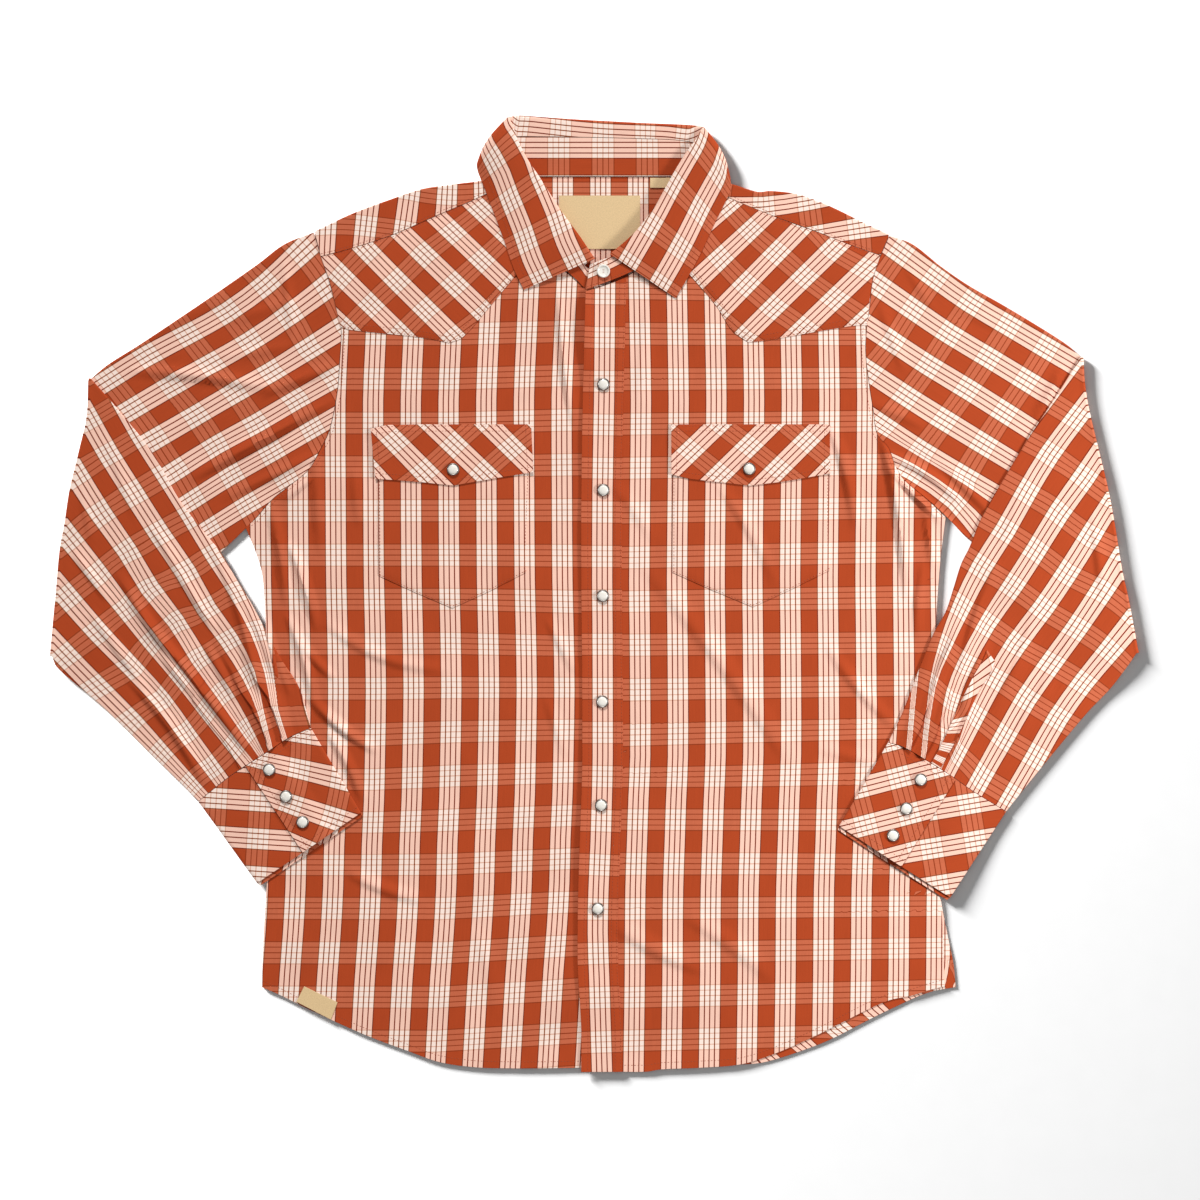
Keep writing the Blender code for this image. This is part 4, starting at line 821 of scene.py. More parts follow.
right_upper_check = check_through({
    0: [(-263, 307, 2), (-296, 277, 1), (-330, 252, 0), (-366, 232, -1), (-402, 213, -2), (-436, 192, -3)],
    2: [(-257, 219, 1), (-291, 198, 0), (-323, 180, -1), (-358, 159, -2), (-395, 138, -3)],
    3: [(-233, 192, 1), (-267, 173, 0), (-304, 151, -1), (-340, 132, -2), (-376, 109, -3)],
    5: [(-276, 100, -1), (-312, 79, -2), (-347, 57, -3)]})
right_forearm_check = check_through({
    0: [(-475, -57, 0), (-448, -85, 1), (-417, -116, 2), (-390, -144, 3)],
    1: [(-473, -4, -1), (-446, -35, 0), (-414.5, -67, 1), (-387.5, -96, 2), (-367, -126, 3),
        (-345, -158, 4)],
    2: [(-446, 16.5, -1), (-420.3, -15.3, 0), (-398.7, -44.6, 1), (-372.5, -77, 2), (-349, -106, 3),
        (-323, -137, 4)],
    3: [(-465, 107, -3), (-443, 71, -2), (-419, 37, -1), (-400.5, 3, 0), (-375.8, -26, 1), (-356.7, -60, 2),
        (-335.7, -90, 3), (-313, -124.5, 4)],
    3.7: [(-463, 150, -4), (-446, 120, -3), (-423, 84, -2), (-400, 48, -1), (-376, 13, 0), (-357, -20, 1),
          (-337, -47, 2), (-316, -79, 3), (-302, -109, 3.8), (-294, -139, 4.6)],
    4.3: [(-445, 160, -4), (-428, 130, -3), (-405, 94, -2), (-382, 58, -1), (-358, 23, 0), (-340, -10, 1),
          (-320, -38, 2), (-304, -70, 3), (-297, -106, 3.8), (-289.5, -137, 4.6)],
    4.7: [(-433.5, 167, -4), (-416.5, 137, -3), (-393.5, 101, -2), (-370.5, 64, -1), (-349.5, 29, 0),
          (-328.5, -3, 1), (-310, -36, 2), (-297, -72, 3), (-290, -104, 3.8), (-282, -128, 4.5)],
    5.3: [(-416, 177, -4), (-399, 147, -3), (-376, 111, -2), (-353, 74, -1), (-332, 39, 0), (-311.5, 4, 1),
          (-296, -34, 2), (-288, -72, 3), (-284, -104, 3.8), (-277.5, -126, 4.4)],
    6: [(-395, 189, -4), (-378, 159, -3), (-355, 123, -2), (-332, 86, -1), (-311, 51, 0), (-290, 18, 1),
        (-272, -25, 2), (-255, -70, 3), (-246, -104, 3.8), (-240, -124, 4.4)]})
left_upper_check = check_through({
    0: [(306.5, 283, 0), (338, 260.5, 1), (372.5, 240, 2), (406.5, 220, 3)],
    2: [(268, 225, 0), (300.5, 204, 1), (335.5, 183, 2), (368.5, 162, 3)],
    4: [(259, 150, 1), (293.5, 127, 2), (332.5, 104, 3)],
    5: [(262, 121, 1.45), (286, 110, 2), (324, 83.5, 3), (350, 52, 3.95)],
    6: [(241, 94, 1.45), (265, 83, 2), (303, 57, 3), (329, 25, 3.95)]})
left_forearm_check = check_through({
    -2: [(376, 193, 0), (352, 160, 1), (331, 126, 2), (311, 92, 3), (291, 60, 4), (280, 9, 5), (270, -45, 6),
         (268, -75, 7), (265, -134, 8.5)],
    -1.3: [(396, 180, 0), (372, 148, 1), (351, 113, 2), (332, 79, 3), (311, 47, 4), (297, 3, 5),
           (288, -45, 6), (286, -75, 7), (280.5, -134, 8.5)],
    -0.7: [(413, 169, 0), (389, 136, 1), (368, 102, 2), (349, 68, 3), (328, 36, 4), (311, -3, 5),
           (298, -45, 6), (291, -75, 7), (285, -134, 8.5)],
    -0.3: [(424.5, 162, 0), (400.5, 130, 1), (379.5, 95.5, 2), (360.5, 61.5, 3), (339.5, 28.5, 4),
           (322, -8, 5), (309, -45, 6), (301, -80, 7), (293.5, -143, 8.5)],
    0.3: [(441.5, 151.5, 0), (417.5, 119, 1), (396.5, 84.5, 2), (377.5, 50.5, 3), (356.5, 17.5, 4),
          (337, -19, 5), (319, -54, 6), (306, -85, 7), (298, -143, 8.5)],
    1: [(462, 135, 0), (441, 103, 1), (417, 71.5, 2), (396, 38, 3), (375.5, 6, 4), (352, -28, 5),
        (332, -65, 6), (322, -91, 6.8), (317, -114, 7.5), (319, -132, 8), (312, -153, 8.6)],
    2: [(466.5, 84.5, 1), (445.5, 50.5, 2), (424, 16.5, 3), (403, -14, 4), (378, -46.8, 5), (360, -76.5, 6),
        (342, -110.7, 7), (325, -144, 8), (317, -160, 8.5)],
    3: [(476, 36, 2), (455, 2, 3), (433, -32, 4), (410.4, -64, 5), (388, -95.5, 6), (368, -130.5, 7),
        (347.5, -166.5, 8)],
    4: [(463, -52, 4), (439.5, -81, 5), (416.7, -113, 6), (397, -147.6, 7), (376, -183.6, 8)]})

RIGHT_UPPER_CREASES = [
    ((-365.4, 102.6), (-232.2, 176.4), 7.2, 5.4, 0), ((-334.8, 85.5), (-244.8, 127.8), 6.4, 3, 0),
    ((-421.2, 201.6), (-282.6, 183.6), 7.2, 4.2, 3), ((-298.8, 180), (-230.4, 207), 7.2, 3.8, 0),
    ((-279, 300.6), (-268.2, 222.3), 5.6, 2, 0), ((-264.6, 262.8), (-325.8, 243), 7.2, 1.8, 0),
    ((-399.6, 235.8), (-309.6, 276.3), 9.6, 1.3, 0), ((-264.6, 222.3), (-336.6, 208.8), 6.4, 2, 0),
]
RIGHT_FOREARM_CREASES = [
    ((-367.2, 90), (-295.2, -104.4), 7.2, 5.4, 10), ((-334.8, 28.8), (-280.8, -88.2), 6.4, 5.4, 6),
    ((-291.6, -32.4), (-271.8, -91.8), 5.6, 5.2, 0), ((-428.4, 19.8), (-372.6, -68.4), 6.4, 3.4, 0),
    ((-469.8, 42.3), (-435.6, -7.2), 6.4, 2.4, 0), ((-370.8, 18), (-340.2, -34.2), 6.4, 3.3, 0),
    ((-421.2, -72), (-345.6, -178.2), 7.2, 3.6, 6), ((-418, -5), (-304, -151), 5.6, 5, 2),
    ((-451.8, -16.2), (-399.6, -88.2), 7.2, 2.4, 0), ((-399.6, 64.8), (-363.6, 1.8), 7.2, 2.4, 2),
    ((-350.1, -43.2), (-320.4, -97.2), 5.6, 2.7, 0), ((-435.6, 136.8), (-408.6, 64.8), 8, 1.4, 0),
    ((-390.6, -52.2), (-354.6, -97.2), 5.6, 2.7, 0), ((-462.6, 100.8), (-448.2, 42.3), 7.2, 1.4, 0),
]
LEFT_UPPER_CREASES = [
    ((394.2, 156.6), (421.2, 203.4), 5.6, 4.8, 0), ((261, 126), (329.4, 82.8), 6.4, 3.6, 5),
    ((257.4, 262.8), (279.9, 198), 7.2, 2, 0), ((279.9, 297), (306.9, 253.8), 7.2, 1.3, 0),
    ((248.4, 172.8), (297.9, 150.3), 7.2, 1.8, 0), ((320.4, 262.8), (374.4, 235.8), 9.6, 1.2, 0),
    ((311.4, 118.8), (365.4, 64.8), 7.2, 2, 0), ((269.1, 111.6), (351.9, 28.8), 6.4, 3.5, 0),
]
LEFT_FOREARM_CREASES = [
    ((318.6, -16.2), (280.8, -133.2), 6.4, 5.4, -4), ((331.2, -23.4), (297, -128.7), 5.6, 5, -3),
    ((365.4, 28.8), (327.6, -88.2), 7.2, 3, -4), ((356.4, -43.2), (331.2, -115.2), 6.4, 3.4, -3),
    ((401.4, -7.2), (351.9, -124.2), 8.8, 2.4, 5), ((450.9, 73.8), (459.9, -7.2), 8.8, 2.2, 0),
    ((419.4, -52.2), (365.4, -151.2), 7.2, 2.4, 3), ((392.4, 109.8), (365.4, 28.8), 8.8, 1.4, 0),
    ((340.2, 82.8), (320.4, -7.2), 6.4, 2.4, -3), ((342.9, -97.2), (320.4, -153), 5.6, 3.4, 0),
    ((437.4, -25.2), (401.4, -97.2), 7.2, 1.8, 0),
]


def support(x, y):
    """Top of what a forearm or cuff lies on: the front, the upper sleeve, or off their edge the table."""
    distance = inside_distance(x, y)
    if distance >= 0:
        return FRONT_TOP + loft(x, y)
    return FRONT_TOP * (1 - smooth((-distance - DROOP_START) / DROOP_RUN))


def mirrored(place, edge, way):
    """A place turned over a line through the edge's, as the under ply lies beside the upper when cut."""
    size = way[0] ** 2 + way[1] ** 2
    t = ((place[0] - edge[0]) * way[0] + (place[1] - edge[1]) * way[1]) / size
    return 2 * (edge[0] + t * way[0]) - place[0], 2 * (edge[1] + t * way[1]) - place[1]


def sleeve(name, node, arm, top_edge, under_edge, elbow, inner, outer, cuff_seam, outwards, pleats,
           upper_check, forearm_check, upper_creases, forearm_creases):
    """A sleeve: a flat tube from the armhole to the elbow fold, over itself, and on to the cuff."""
    back_radius, front_radius = PLY_TURN * 2 + ELBOW_RADIUS, ELBOW_RADIUS
    pivot = BACK_MID + back_radius
    chord = Vector((elbow[-1][0] - elbow[0][0], elbow[-1][1] - elbow[0][1])).normalized()
    side = (-chord.y * outwards, chord.x * outwards)
    columns = [k / ACROSS for k in range(ACROSS + 1)]
    axis = [(x - side[0] * (back_radius + WALL / 2), y - side[1] * (back_radius + WALL / 2))
            for x, y in (along(elbow, share) for share in columns)]
    start = shifted(stations(arm, ACROSS), SLEEVE_SEAM * outwards)
    start[-1] = between(start[-1], under_edge[1], PIT_RELIEF)
    upper = patch(stations([start[0]] + top_edge[1:-1] + [axis[0]], UPPER_STEPS),
                  stations([start[-1]] + under_edge[1:-1] + [axis[-1]], UPPER_STEPS), start, axis)
    cuff_end = shifted([along(cuff_seam, share) for share in columns], SLEEVE_SEAM * outwards)
    forearm = patch(stations([axis[0]] + inner[1:-1] + [cuff_end[0]], FOREARM_STEPS),
                    stations([axis[-1]] + outer[1:-1] + [cuff_end[-1]], FOREARM_STEPS), axis, cuff_end)
    rings, ring_checks = [], []

    def with_folds(rows, inwards):
        """Rows as (edges, way along the inner edge, places), their ends drawn in to start the folds."""
        firsts, lasts = [[row[i] for row in rows] for i in (0, -1)]
        ways = [(b[0] - a[0], b[1] - a[1])
                for a, b in zip(firsts[:1] + firsts[:-1], firsts[1:] + firsts[-1:])]
        return [((row[0], row[-1]), way, [a] + list(row[1:-1]) + [b]) for row, way, a, b in zip(
            rows, ways, shifted(firsts, -PLY_TURN * inwards), shifted(lasts, PLY_TURN * inwards))]

    def add_ring(edges, way, row, near_height, far_height, near_check, far_check, turn=None):
        near = [(x, y, near_height(i, x, y)) for i, (x, y) in enumerate(row)]
        far = [(x, y, far_height(i, x, y)) for i, (x, y) in enumerate(row)]
        folds = []
        for edge, a, b in ((edges[0], near[0], far[0]), (edges[1], near[-1], far[-1])):
            middle = (a[2] + b[2]) / 2
            folds.append([(*between(a[:2], edge, sin(radians(t))),
                           middle + (a[2] - middle) * cos(radians(t))) for t in FOLD_ANGLES])
        ring = [folds[0][1], folds[0][0]] + near + folds[1][:2]
        checks = [near_check(place[:2], edges[0], way) for place in ring]
        under = folds[1][1:] + far[::-1] + [folds[0][2], folds[0][1]]
        checks += [far_check(place[:2], edges[0], way) for place in under]
        ring += under
        rings.append([turn(*place) for place in ring] if turn else ring)
        ring_checks.append(checks)

    def plain(check):
        return lambda place, edge, way: check(*place)

    def turned_over(check):
        return lambda place, edge, way: check(*mirrored(place, edge, way))

    upper, forearm = with_folds(upper, outwards), with_folds(forearm, -outwards)
    for row in upper:
        add_ring(*row, lambda i, x, y: FRONT_MID + loft(x, y) + creased(x, y, upper_creases),
                 lambda i, x, y: BACK_MID, plain(upper_check), turned_over(upper_check))
    for angle in TURN_ANGLES:
        rise = radians(angle)
        add_ring(*upper[-1], lambda i, x, y: front_radius, lambda i, x, y: back_radius,
                 turned_over(forearm_check), plain(forearm_check),
                 lambda x, y, radius: (x + side[0] * radius * sin(rise), y + side[1] * radius * sin(rise),
                                       pivot - radius * cos(rise)))
    tops = []
    for k, row in list(enumerate(forearm))[1:]:
        down = k / FOREARM_STEPS
        near_cuff = smooth((down - PLEAT_START) / PLEAT_RUN)

        def under_ply(i, x, y):
            return support(x, y) + REST_GAP + WALL / 2

        def over_ply(i, x, y):
            share = columns[i]
            height = under_ply(i, x, y) + 2 * PLY_TURN + SLEEVE_AIR * sin(pi * share) * sin(pi * down)
            for pleat in pleats:
                off = share - pleat + PLEAT_SLANT * (1 - down)
                if -PLEAT_WIDTH < off <= 0:
                    height += PLEAT_HEIGHT * near_cuff * smooth(1 + off / PLEAT_WIDTH)
            edge = min(1.0, 6 * min(share, 1 - share))
            rise = edge * max(-0.8, creased(x, y, forearm_creases))
            return height + rise * smooth(down / 0.1) * smooth((1 - down) / 0.08)

        add_ring(*row, under_ply, over_ply, turned_over(forearm_check), plain(forearm_check))
        tops.append(rings[-1][-3:-4 - ACROSS:-1])
    piece = cloth_piece(name, rings, ring_checks, joined=True)
    sewn(piece, node, (580, 640), cut_area(rings),
         rests_on=("front_panel_" + name.split("_")[1],))
    return tops


right_tops = sleeve("sleeve_right_piece", "sleeve_right", RIGHT_ARMHOLE, RIGHT_SLEEVE_TOP,
                    RIGHT_SLEEVE_UNDER, RIGHT_ELBOW_FOLD, RIGHT_FOREARM_INNER, RIGHT_FOREARM_OUTER,
                    RIGHT_CUFF_SEAM, -1, (0.23, 0.35), right_upper_check, right_forearm_check,
                    RIGHT_UPPER_CREASES, RIGHT_FOREARM_CREASES)
left_tops = sleeve("sleeve_left_piece", "sleeve_left", LEFT_ARMHOLE, LEFT_SLEEVE_TOP, LEFT_SLEEVE_UNDER,
                   LEFT_ELBOW_FOLD, LEFT_FOREARM_INNER, LEFT_FOREARM_OUTER,
                   LEFT_CUFF_SEAM, 1, (0.16, 0.28), left_upper_check, left_forearm_check,
                   LEFT_UPPER_CREASES, LEFT_FOREARM_CREASES)

# -----------------------------------------------------------------------------------------------------------
# Plackets: the slit in the sleeve above each cuff is bound by a narrow strip of the same cotton, laid over
# the sleeve and stitched down.
PLACKET_LIFT = 0.3
for name, node, tops, first, last, length, check in (
        ("placket_right", "gauntlet_right", right_tops, 0.47, 0.61, 0.3, right_forearm_check),
        ("placket_left", "gauntlet_left", left_tops, 0.345, 0.42, 0.36,
         check_through({-1: [(314.5, -121.8, 0), (354, -116.2, 1)],
                        0: [(332.1, -87.2, 0), (365.7, -65.4, 1)]}))):
    covered = slice(round(first * ACROSS), round(last * ACROSS) + 1)
    places = [[(x, y, z + WALL + PLACKET_LIFT) for x, y, z in row[covered]]
              for row in tops[-1 - round(length * FOREARM_STEPS):]]
    sewn(cloth_piece(name, places, on_check(places, check)), node, (26, 130), cut_area(places),
         rests_on=(name.replace("placket", "sleeve") + "_piece",))

# -----------------------------------------------------------------------------------------------------------
# Cuffs: stiffened bands cut on the bias, wound round the sleeve's end and closed with three snaps.  The free
# end laps over the front, and the under side shows a little past the upper at the hem.
STIFF_WALL, STIFF_CLOTH = 1.2, 0.8  # a ply with its interlining, in the solids and as drawn
CUFF_PEEK, CUFF_MOUTH = 3.5, 0.4
CUFF_LAYER = STIFF_WALL + GAP
RIGHT_CUFF_HEM = [(-210, -198), (-256, -229.5), (-303, -261)]
LEFT_CUFF_HEM = [(220, -210), (269, -242), (319.5, -274)]
CUFF_WINDING = [(0.37, 2), (0.6, 2), (0.8, 2), (0.994, 2), (1.0, 1.5), (0.994, 1), (0.8, 1), (0.6, 1),
                (0.4, 1), (0.2, 1), (0.006, 1), (0.0, 1.5), (0.006, 2), (0.13, 2), (0.24, 2), (0.33, 3),
                (0.44, 3), (0.56, 3)]
UNDER_START, LAP_START, LAP_SHOWN = 5, 8, 11  # in the winding: under side, the lap's cloth, the lap in sight
CUFF_ROWS, CUFF_STEPS = 24, 50


def straight_check(x, y, angle):
    return check_through({0: [(x, y, 0), (x + CROSS_REPEAT * cos(radians(angle)),
                                          y + CROSS_REPEAT * sin(radians(angle)), 1)]})


def cuff_height(x, y, layer):
    """Height of the middle of a cuff's layer, counted from the lowest, 1."""
    return support(x, y) + REST_GAP + STIFF_WALL / 2 + (layer - 1) * CUFF_LAYER


def cuff(name, node, seam, hem, under_check, lap_check):
    """A cuff: from the under end out round both folds to the lap."""
    winding = []
    for n, ((share, layer), (next_share, next_layer)) in enumerate(zip(CUFF_WINDING, CUFF_WINDING[1:])):
        steps = max(1, round(abs(next_share - share) * CUFF_STEPS))
        winding += [(*between((share, layer), (next_share, next_layer), k / steps), n) for k in range(steps)]
    winding.append((*CUFF_WINDING[-1], len(CUFF_WINDING)))
    places, checks = [], []
    for k in range(CUFF_ROWS + 1):
        row, row_check = [], []
        for share, layer, n in winding:
            top, bottom = along(seam, share), along(hem, share)
            reach = 1 + (CUFF_PEEK / hypot(bottom[0] - top[0], bottom[1] - top[1]) if layer == 1 else 0)
            x, y = between(top, bottom, reach * k / CUFF_ROWS)
            mouth = CUFF_MOUTH * (layer - 1) * smooth((k / CUFF_ROWS - 0.75) / 0.25) * sin(pi * share)
            row.append((x, y, cuff_height(x, y, layer) + mouth))
            fold = (seam[-1], hem[-1]) if n < LAP_START else (seam[0], hem[0])
            way = (fold[1][0] - fold[0][0], fold[1][1] - fold[0][1])
            spot = mirrored((x, y), fold[0], way) if UNDER_START <= n < LAP_SHOWN else (x, y)
            row_check.append((under_check if n < LAP_START else lap_check)(*spot))
        places.append(row)
        checks.append(row_check)
    sewn(cloth_piece(name, places, checks, wall=STIFF_CLOTH), node, (330, 92), cut_area(places),
         rests_on=("front_panel_" + name.split("_")[1],))
    first_shown = next(k for k, (share, layer, n) in enumerate(winding) if n == LAP_SHOWN)
    shown = [row[first_shown:] for row in places]
    stitching(name + "_stitches", [set_in(shown, side, inset) for side, inset in (
        ("top", EDGE_ROW), ("top", SECOND_ROW), ("bottom", SECOND_ROW),
        ("right", SECOND_ROW))], wall=STIFF_CLOTH)


cuff("cuff_right_band", "cuff_right", RIGHT_CUFF_SEAM, RIGHT_CUFF_HEM, straight_check(-300.3, -187.5, -3.6),
     check_through({0: [(-265.1, -158.6, 0), (-227.5, -167.3, 1)],
                    1: [(-272.3, -190.1, 0), (-234.9, -202.7, 1)]}))
cuff("cuff_left_band", "cuff_left", LEFT_CUFF_SEAM, LEFT_CUFF_HEM, straight_check(303, -230, 9.4),
     straight_check(282.3, -199, 14.6))

# -----------------------------------------------------------------------------------------------------------
# Collar and stand: both stiffened, cut with the stripes along them.  The stand rises from the neck seam and
# its left end laps over the right; the collar is sewn to it, rolls over and falls to two points.
COLLAR_STATIONS = [
    # body seam       collar seam     heights    roll           outer edge       heights    facing
    ((16, 281.5), (14, 296), 3.1, 3.2, None, None, 0, 0, 0),
    ((-8, 274), (-4.5, 291.5), 3.1, 3.4, None, None, 0, 0, 0),
    ((-14, 279), (-9, 294), 3.2, 3.9, (0, 299.5), (-63.5, 272), 6.8, 3.9, 90),
    ((-40, 302), (-22, 313), 3.4, 5.8, (-14.5, 321), (-72.5, 291), 8.4, 4.8, 90),
    ((-66, 322), (-43, 332.5), 4.5, 6.5, (-30, 342), (-81, 316), 8.7, 4.8, 90),
    ((-81, 344), (-63, 364.5), 4.5, 6.6, (-50.5, 374), (-91.5, 344), 8.7, 4.8, 90),
    ((-87.5, 361), (-71.5, 381), 4.5, 6.6, (-60.5, 389), (-99, 364), 8.7, 4.9, 80),
    ((-86.5, 369), (-76, 396), 4.5, 6.6, (-69.5, 407), (-104, 376), 8.4, 4.9, 60),
    ((-85.3, 376.2), (-78.7, 406.7), 4.3, 6.5, (-74.5, 421), (-105.5, 382), 7.6, 4.6, 35),
    ((-86.6, 376.5), (-80, 407), 3.0, 5.2, (-77.5, 426.5), (-105, 387), 5.6, 3.2, 0),
    ((-85.3, 376.2), (-78.7, 406.7), 1.9, 3.9, (-74.5, 427.6), (-103, 388.5), 3.6, 1.4, -60),
    ((-74, 374.8), (-70, 409.3), 1.9, 3.9, (-67, 428.5), (-80, 388), 3.2, 0.7, -90),
    ((-54, 374.5), (-54, 409.5), 1.9, 3.8, (-52, 427.5), (-62, 386), 3.2, 0.7, -90),
    ((-20, 374.5), (-20, 409), 1.9, 3.8, (-20, 425.2), (-24, 384), 3.2, 0.7, -90),
    ((11, 374.5), (11, 408.5), 1.9, 3.8, (11, 423.5), (11, 383), 3.2, 0.7, -90),
    ((45, 374.5), (45, 407.5), 1.9, 3.8, (45, 421.7), (49, 381), 3.2, 0.7, -90),
    ((68, 374.5), (67, 406.8), 1.9, 3.8, (68, 420.8), (76, 381), 3.2, 0.7, -90),
    ((86, 374.3), (83, 405.2), 1.9, 3.9, (85, 420), (97, 382.5), 3.2, 0.7, -90),
    ((99.3, 373.2), (95.7, 402.3), 1.9, 3.9, (95.5, 418.7), (117, 379), 3.6, 1.4, -60),
    ((100.6, 373.4), (97, 402.5), 3.0, 5.2, (98, 417.5), (121, 375.5), 5.6, 3.2, 0),
    ((99.3, 373.2), (95.7, 402.3), 4.3, 6.5, (95.5, 414), (122, 370), 7.6, 4.6, 35),
    ((100, 365), (93.5, 393.5), 4.5, 6.6, (91, 406), (122.5, 363), 8.4, 4.9, 60),
    ((101, 355), (88, 383.5), 4.5, 6.6, (82, 394), (117.5, 351), 8.7, 4.9, 80),
    ((94, 341), (77.5, 365), 4.5, 6.6, (70.5, 375), (109, 334), 8.7, 4.8, 90),
    ((78, 318.5), (60.5, 335.5), 4.5, 6.5, (53.5, 345), (97, 308), 8.7, 4.8, 90),
    ((51, 297.5), (40.5, 312), 4.5, 6.0, (34.5, 321), (85.5, 286), 8.4, 4.8, 90),
    ((27, 285.5), (20, 302.5), 4.7, 5.2, (14, 303.7), (73, 264.5), 7.2, 3.9, 90),
    ((11, 279), (8.5, 299.5), 4.9, 5.0, None, None, 0, 0, 0),
    ((-7.5, 272.5), (-4, 294.5), 4.9, 5.0, None, None, 0, 0, 0),
]
COLLAR_SEAM, COLLAR_ROLL = 0.6, 1.1
COLLAR_SWELL, COLLAR_SIDE_SWELL = 1.2, 3.0
STRIPE_RISE_RUN = 120  # along the stand, from each front end
LEAF_COLUMNS, TAB_ROWS = 12, 30  # of the grids: a leaf's fall, and the stand's lap
STAND_ROW = 1.8
LEAF_REST = 1.0  # the leaves' edges rest this much lower than in the solids, on the yokes
EDGE_TO_STRIPE = 19.0  # from the collar's outer edge to its first light stripe
SEAM_TO_STRIPE = (18.6, 6.8)  # from neck seam to the stand's light stripe in front, and the more behind
BACK_STATION, BACK_CROSS = 14, 3.4  # the station behind the neck, and the cross stripe's distance before it


def with_middles(rows):
    """Rows of places with one more row between each two, on smooth curves from row to row."""
    dense = [rows[0]]
    for k in range(len(rows) - 1):
        a, b, c, d = (rows[min(max(j, 0), len(rows) - 1)] for j in (k - 1, k, k + 1, k + 2))
        middle = []
        for p, q, r, s in zip(a, b, c, d):
            p, q, r, s = Vector(p), Vector(q), Vector(r), Vector(s)
            step = (r - q).length
            leave = (r - p) * step / max(step, (q - p).length + step)
            reach = (s - q) * step / max(step, (s - r).length + step)
            middle.append(tuple((q + r) / 2 + (leave - reach) / 8))
        dense += [middle, c]
    return dense


stand_rows, collar_rows = [], []
for number, station in enumerate(COLLAR_STATIONS):
    body_seam, collar_seam, low, high, roll, edge, roll_height, edge_height, facing = station
    foot = Vector((*body_seam, low + loft(*body_seam)))
    head = Vector((*collar_seam, high + loft(*collar_seam)))
    stand_rows.append([tuple(foot + (head - foot) * share) for share in (0, 0.5, 1)])
    if roll is None:
        continue
    outwards = Vector((-1 if head.x < 8 else 1, 0, 0)) * cos(radians(facing))
    outwards.z = sin(radians(facing))
    start = head + (head - foot).normalized() * COLLAR_SEAM
    top = Vector((*roll, roll_height + loft(*roll)))
    end = Vector((*edge, edge_height + loft(*edge) - (LEAF_REST if facing >= 60 else 0)))
    to_start = Vector((start.x - top.x, start.y - top.y, 0)).normalized()
    to_end = Vector((end.x - top.x, end.y - top.y, 0)).normalized()
    inner = top + to_start * 2 * COLLAR_ROLL - outwards * COLLAR_ROLL
    outer = top + to_end * 2 * COLLAR_ROLL + outwards * COLLAR_ROLL
    fall = []
    for share in (0.33, 0.67, 1):
        spot = outer + (end - outer) * share
        if facing >= 0:
            swell = COLLAR_SWELL * smooth(0.2 + min(number - 2, 26 - number) / 3)
            spot += outwards * (swell + COLLAR_SIDE_SWELL * cos(radians(facing))) * sin(pi * share)
        else:
            spot.z = end.z + (outer.z - end.z) * (1 - share) ** 2
        fall.append(spot)
    collar_rows.append([tuple(spot) for spot in (start, inner, top, outer, *fall)])

for name, node, rows, stripe_from_end, back_station, flat, rests_on in (
        ("collar_stand_piece", "collar_stand", stand_rows, False, BACK_STATION, (640, 40),
         ("back_yoke_piece",)),
        ("collar_piece", "collar", collar_rows, True, BACK_STATION - 2, (600, 85),
         ("front_panel_right",))):
    for doubling in range(3):
        rows = with_middles(rows)
    for doubling in range(2 if stripe_from_end else 3):
        rows = [list(row) for row in zip(*with_middles([list(column) for column in zip(*rows)]))]
    middles = [row[len(row) * 2 // 3] for row in rows]
    travel = [0.0]
    for a, b in zip(middles, middles[1:]):
        travel.append(travel[-1] + hypot(b[0] - a[0], b[1] - a[1]))
    checks = []
    for row, run in zip(rows, travel):
        steps = [(Vector(b) - Vector(a)).length for a, b in zip(row, row[1:])]
        if stripe_from_end:
            across = [sum(steps[k:]) - EDGE_TO_STRIPE for k in range(len(row))]
        else:
            front_end = min(run, travel[-1] - run) / STRIPE_RISE_RUN
            more = SEAM_TO_STRIPE[1] * smooth(front_end)
            across = [sum(steps[:k]) - SEAM_TO_STRIPE[0] - more for k in range(len(row))]
        around = (run - travel[back_station * 8] + BACK_CROSS) * MM
        checks.append([(distance * MM, around) for distance in across])
    sewn(cloth_piece(name, rows, checks, wall=STIFF_CLOTH), node, flat, cut_area(rows),
         rests_on=rests_on)
    if stripe_from_end:
        leaf_rows = len(rows) * 9 // 24
        leaves = [rows[:leaf_rows], rows[-leaf_rows:]]
        lines = [set_in(leaf, "right", SECOND_ROW) for leaf in leaves]
        for leaf, front_edge in zip(leaves, ("top", "bottom")):
            lines.append(set_in([row[-LEAF_COLUMNS:] for row in leaf], front_edge, SECOND_ROW))
        stitching("collar_stitches", lines, wall=STIFF_CLOTH)
    else:
        lines = [set_in(rows[-TAB_ROWS:], side, STAND_ROW) for side in ("left", "right")]
        stitching("collar_stand_stitches", lines, wall=STIFF_CLOTH)

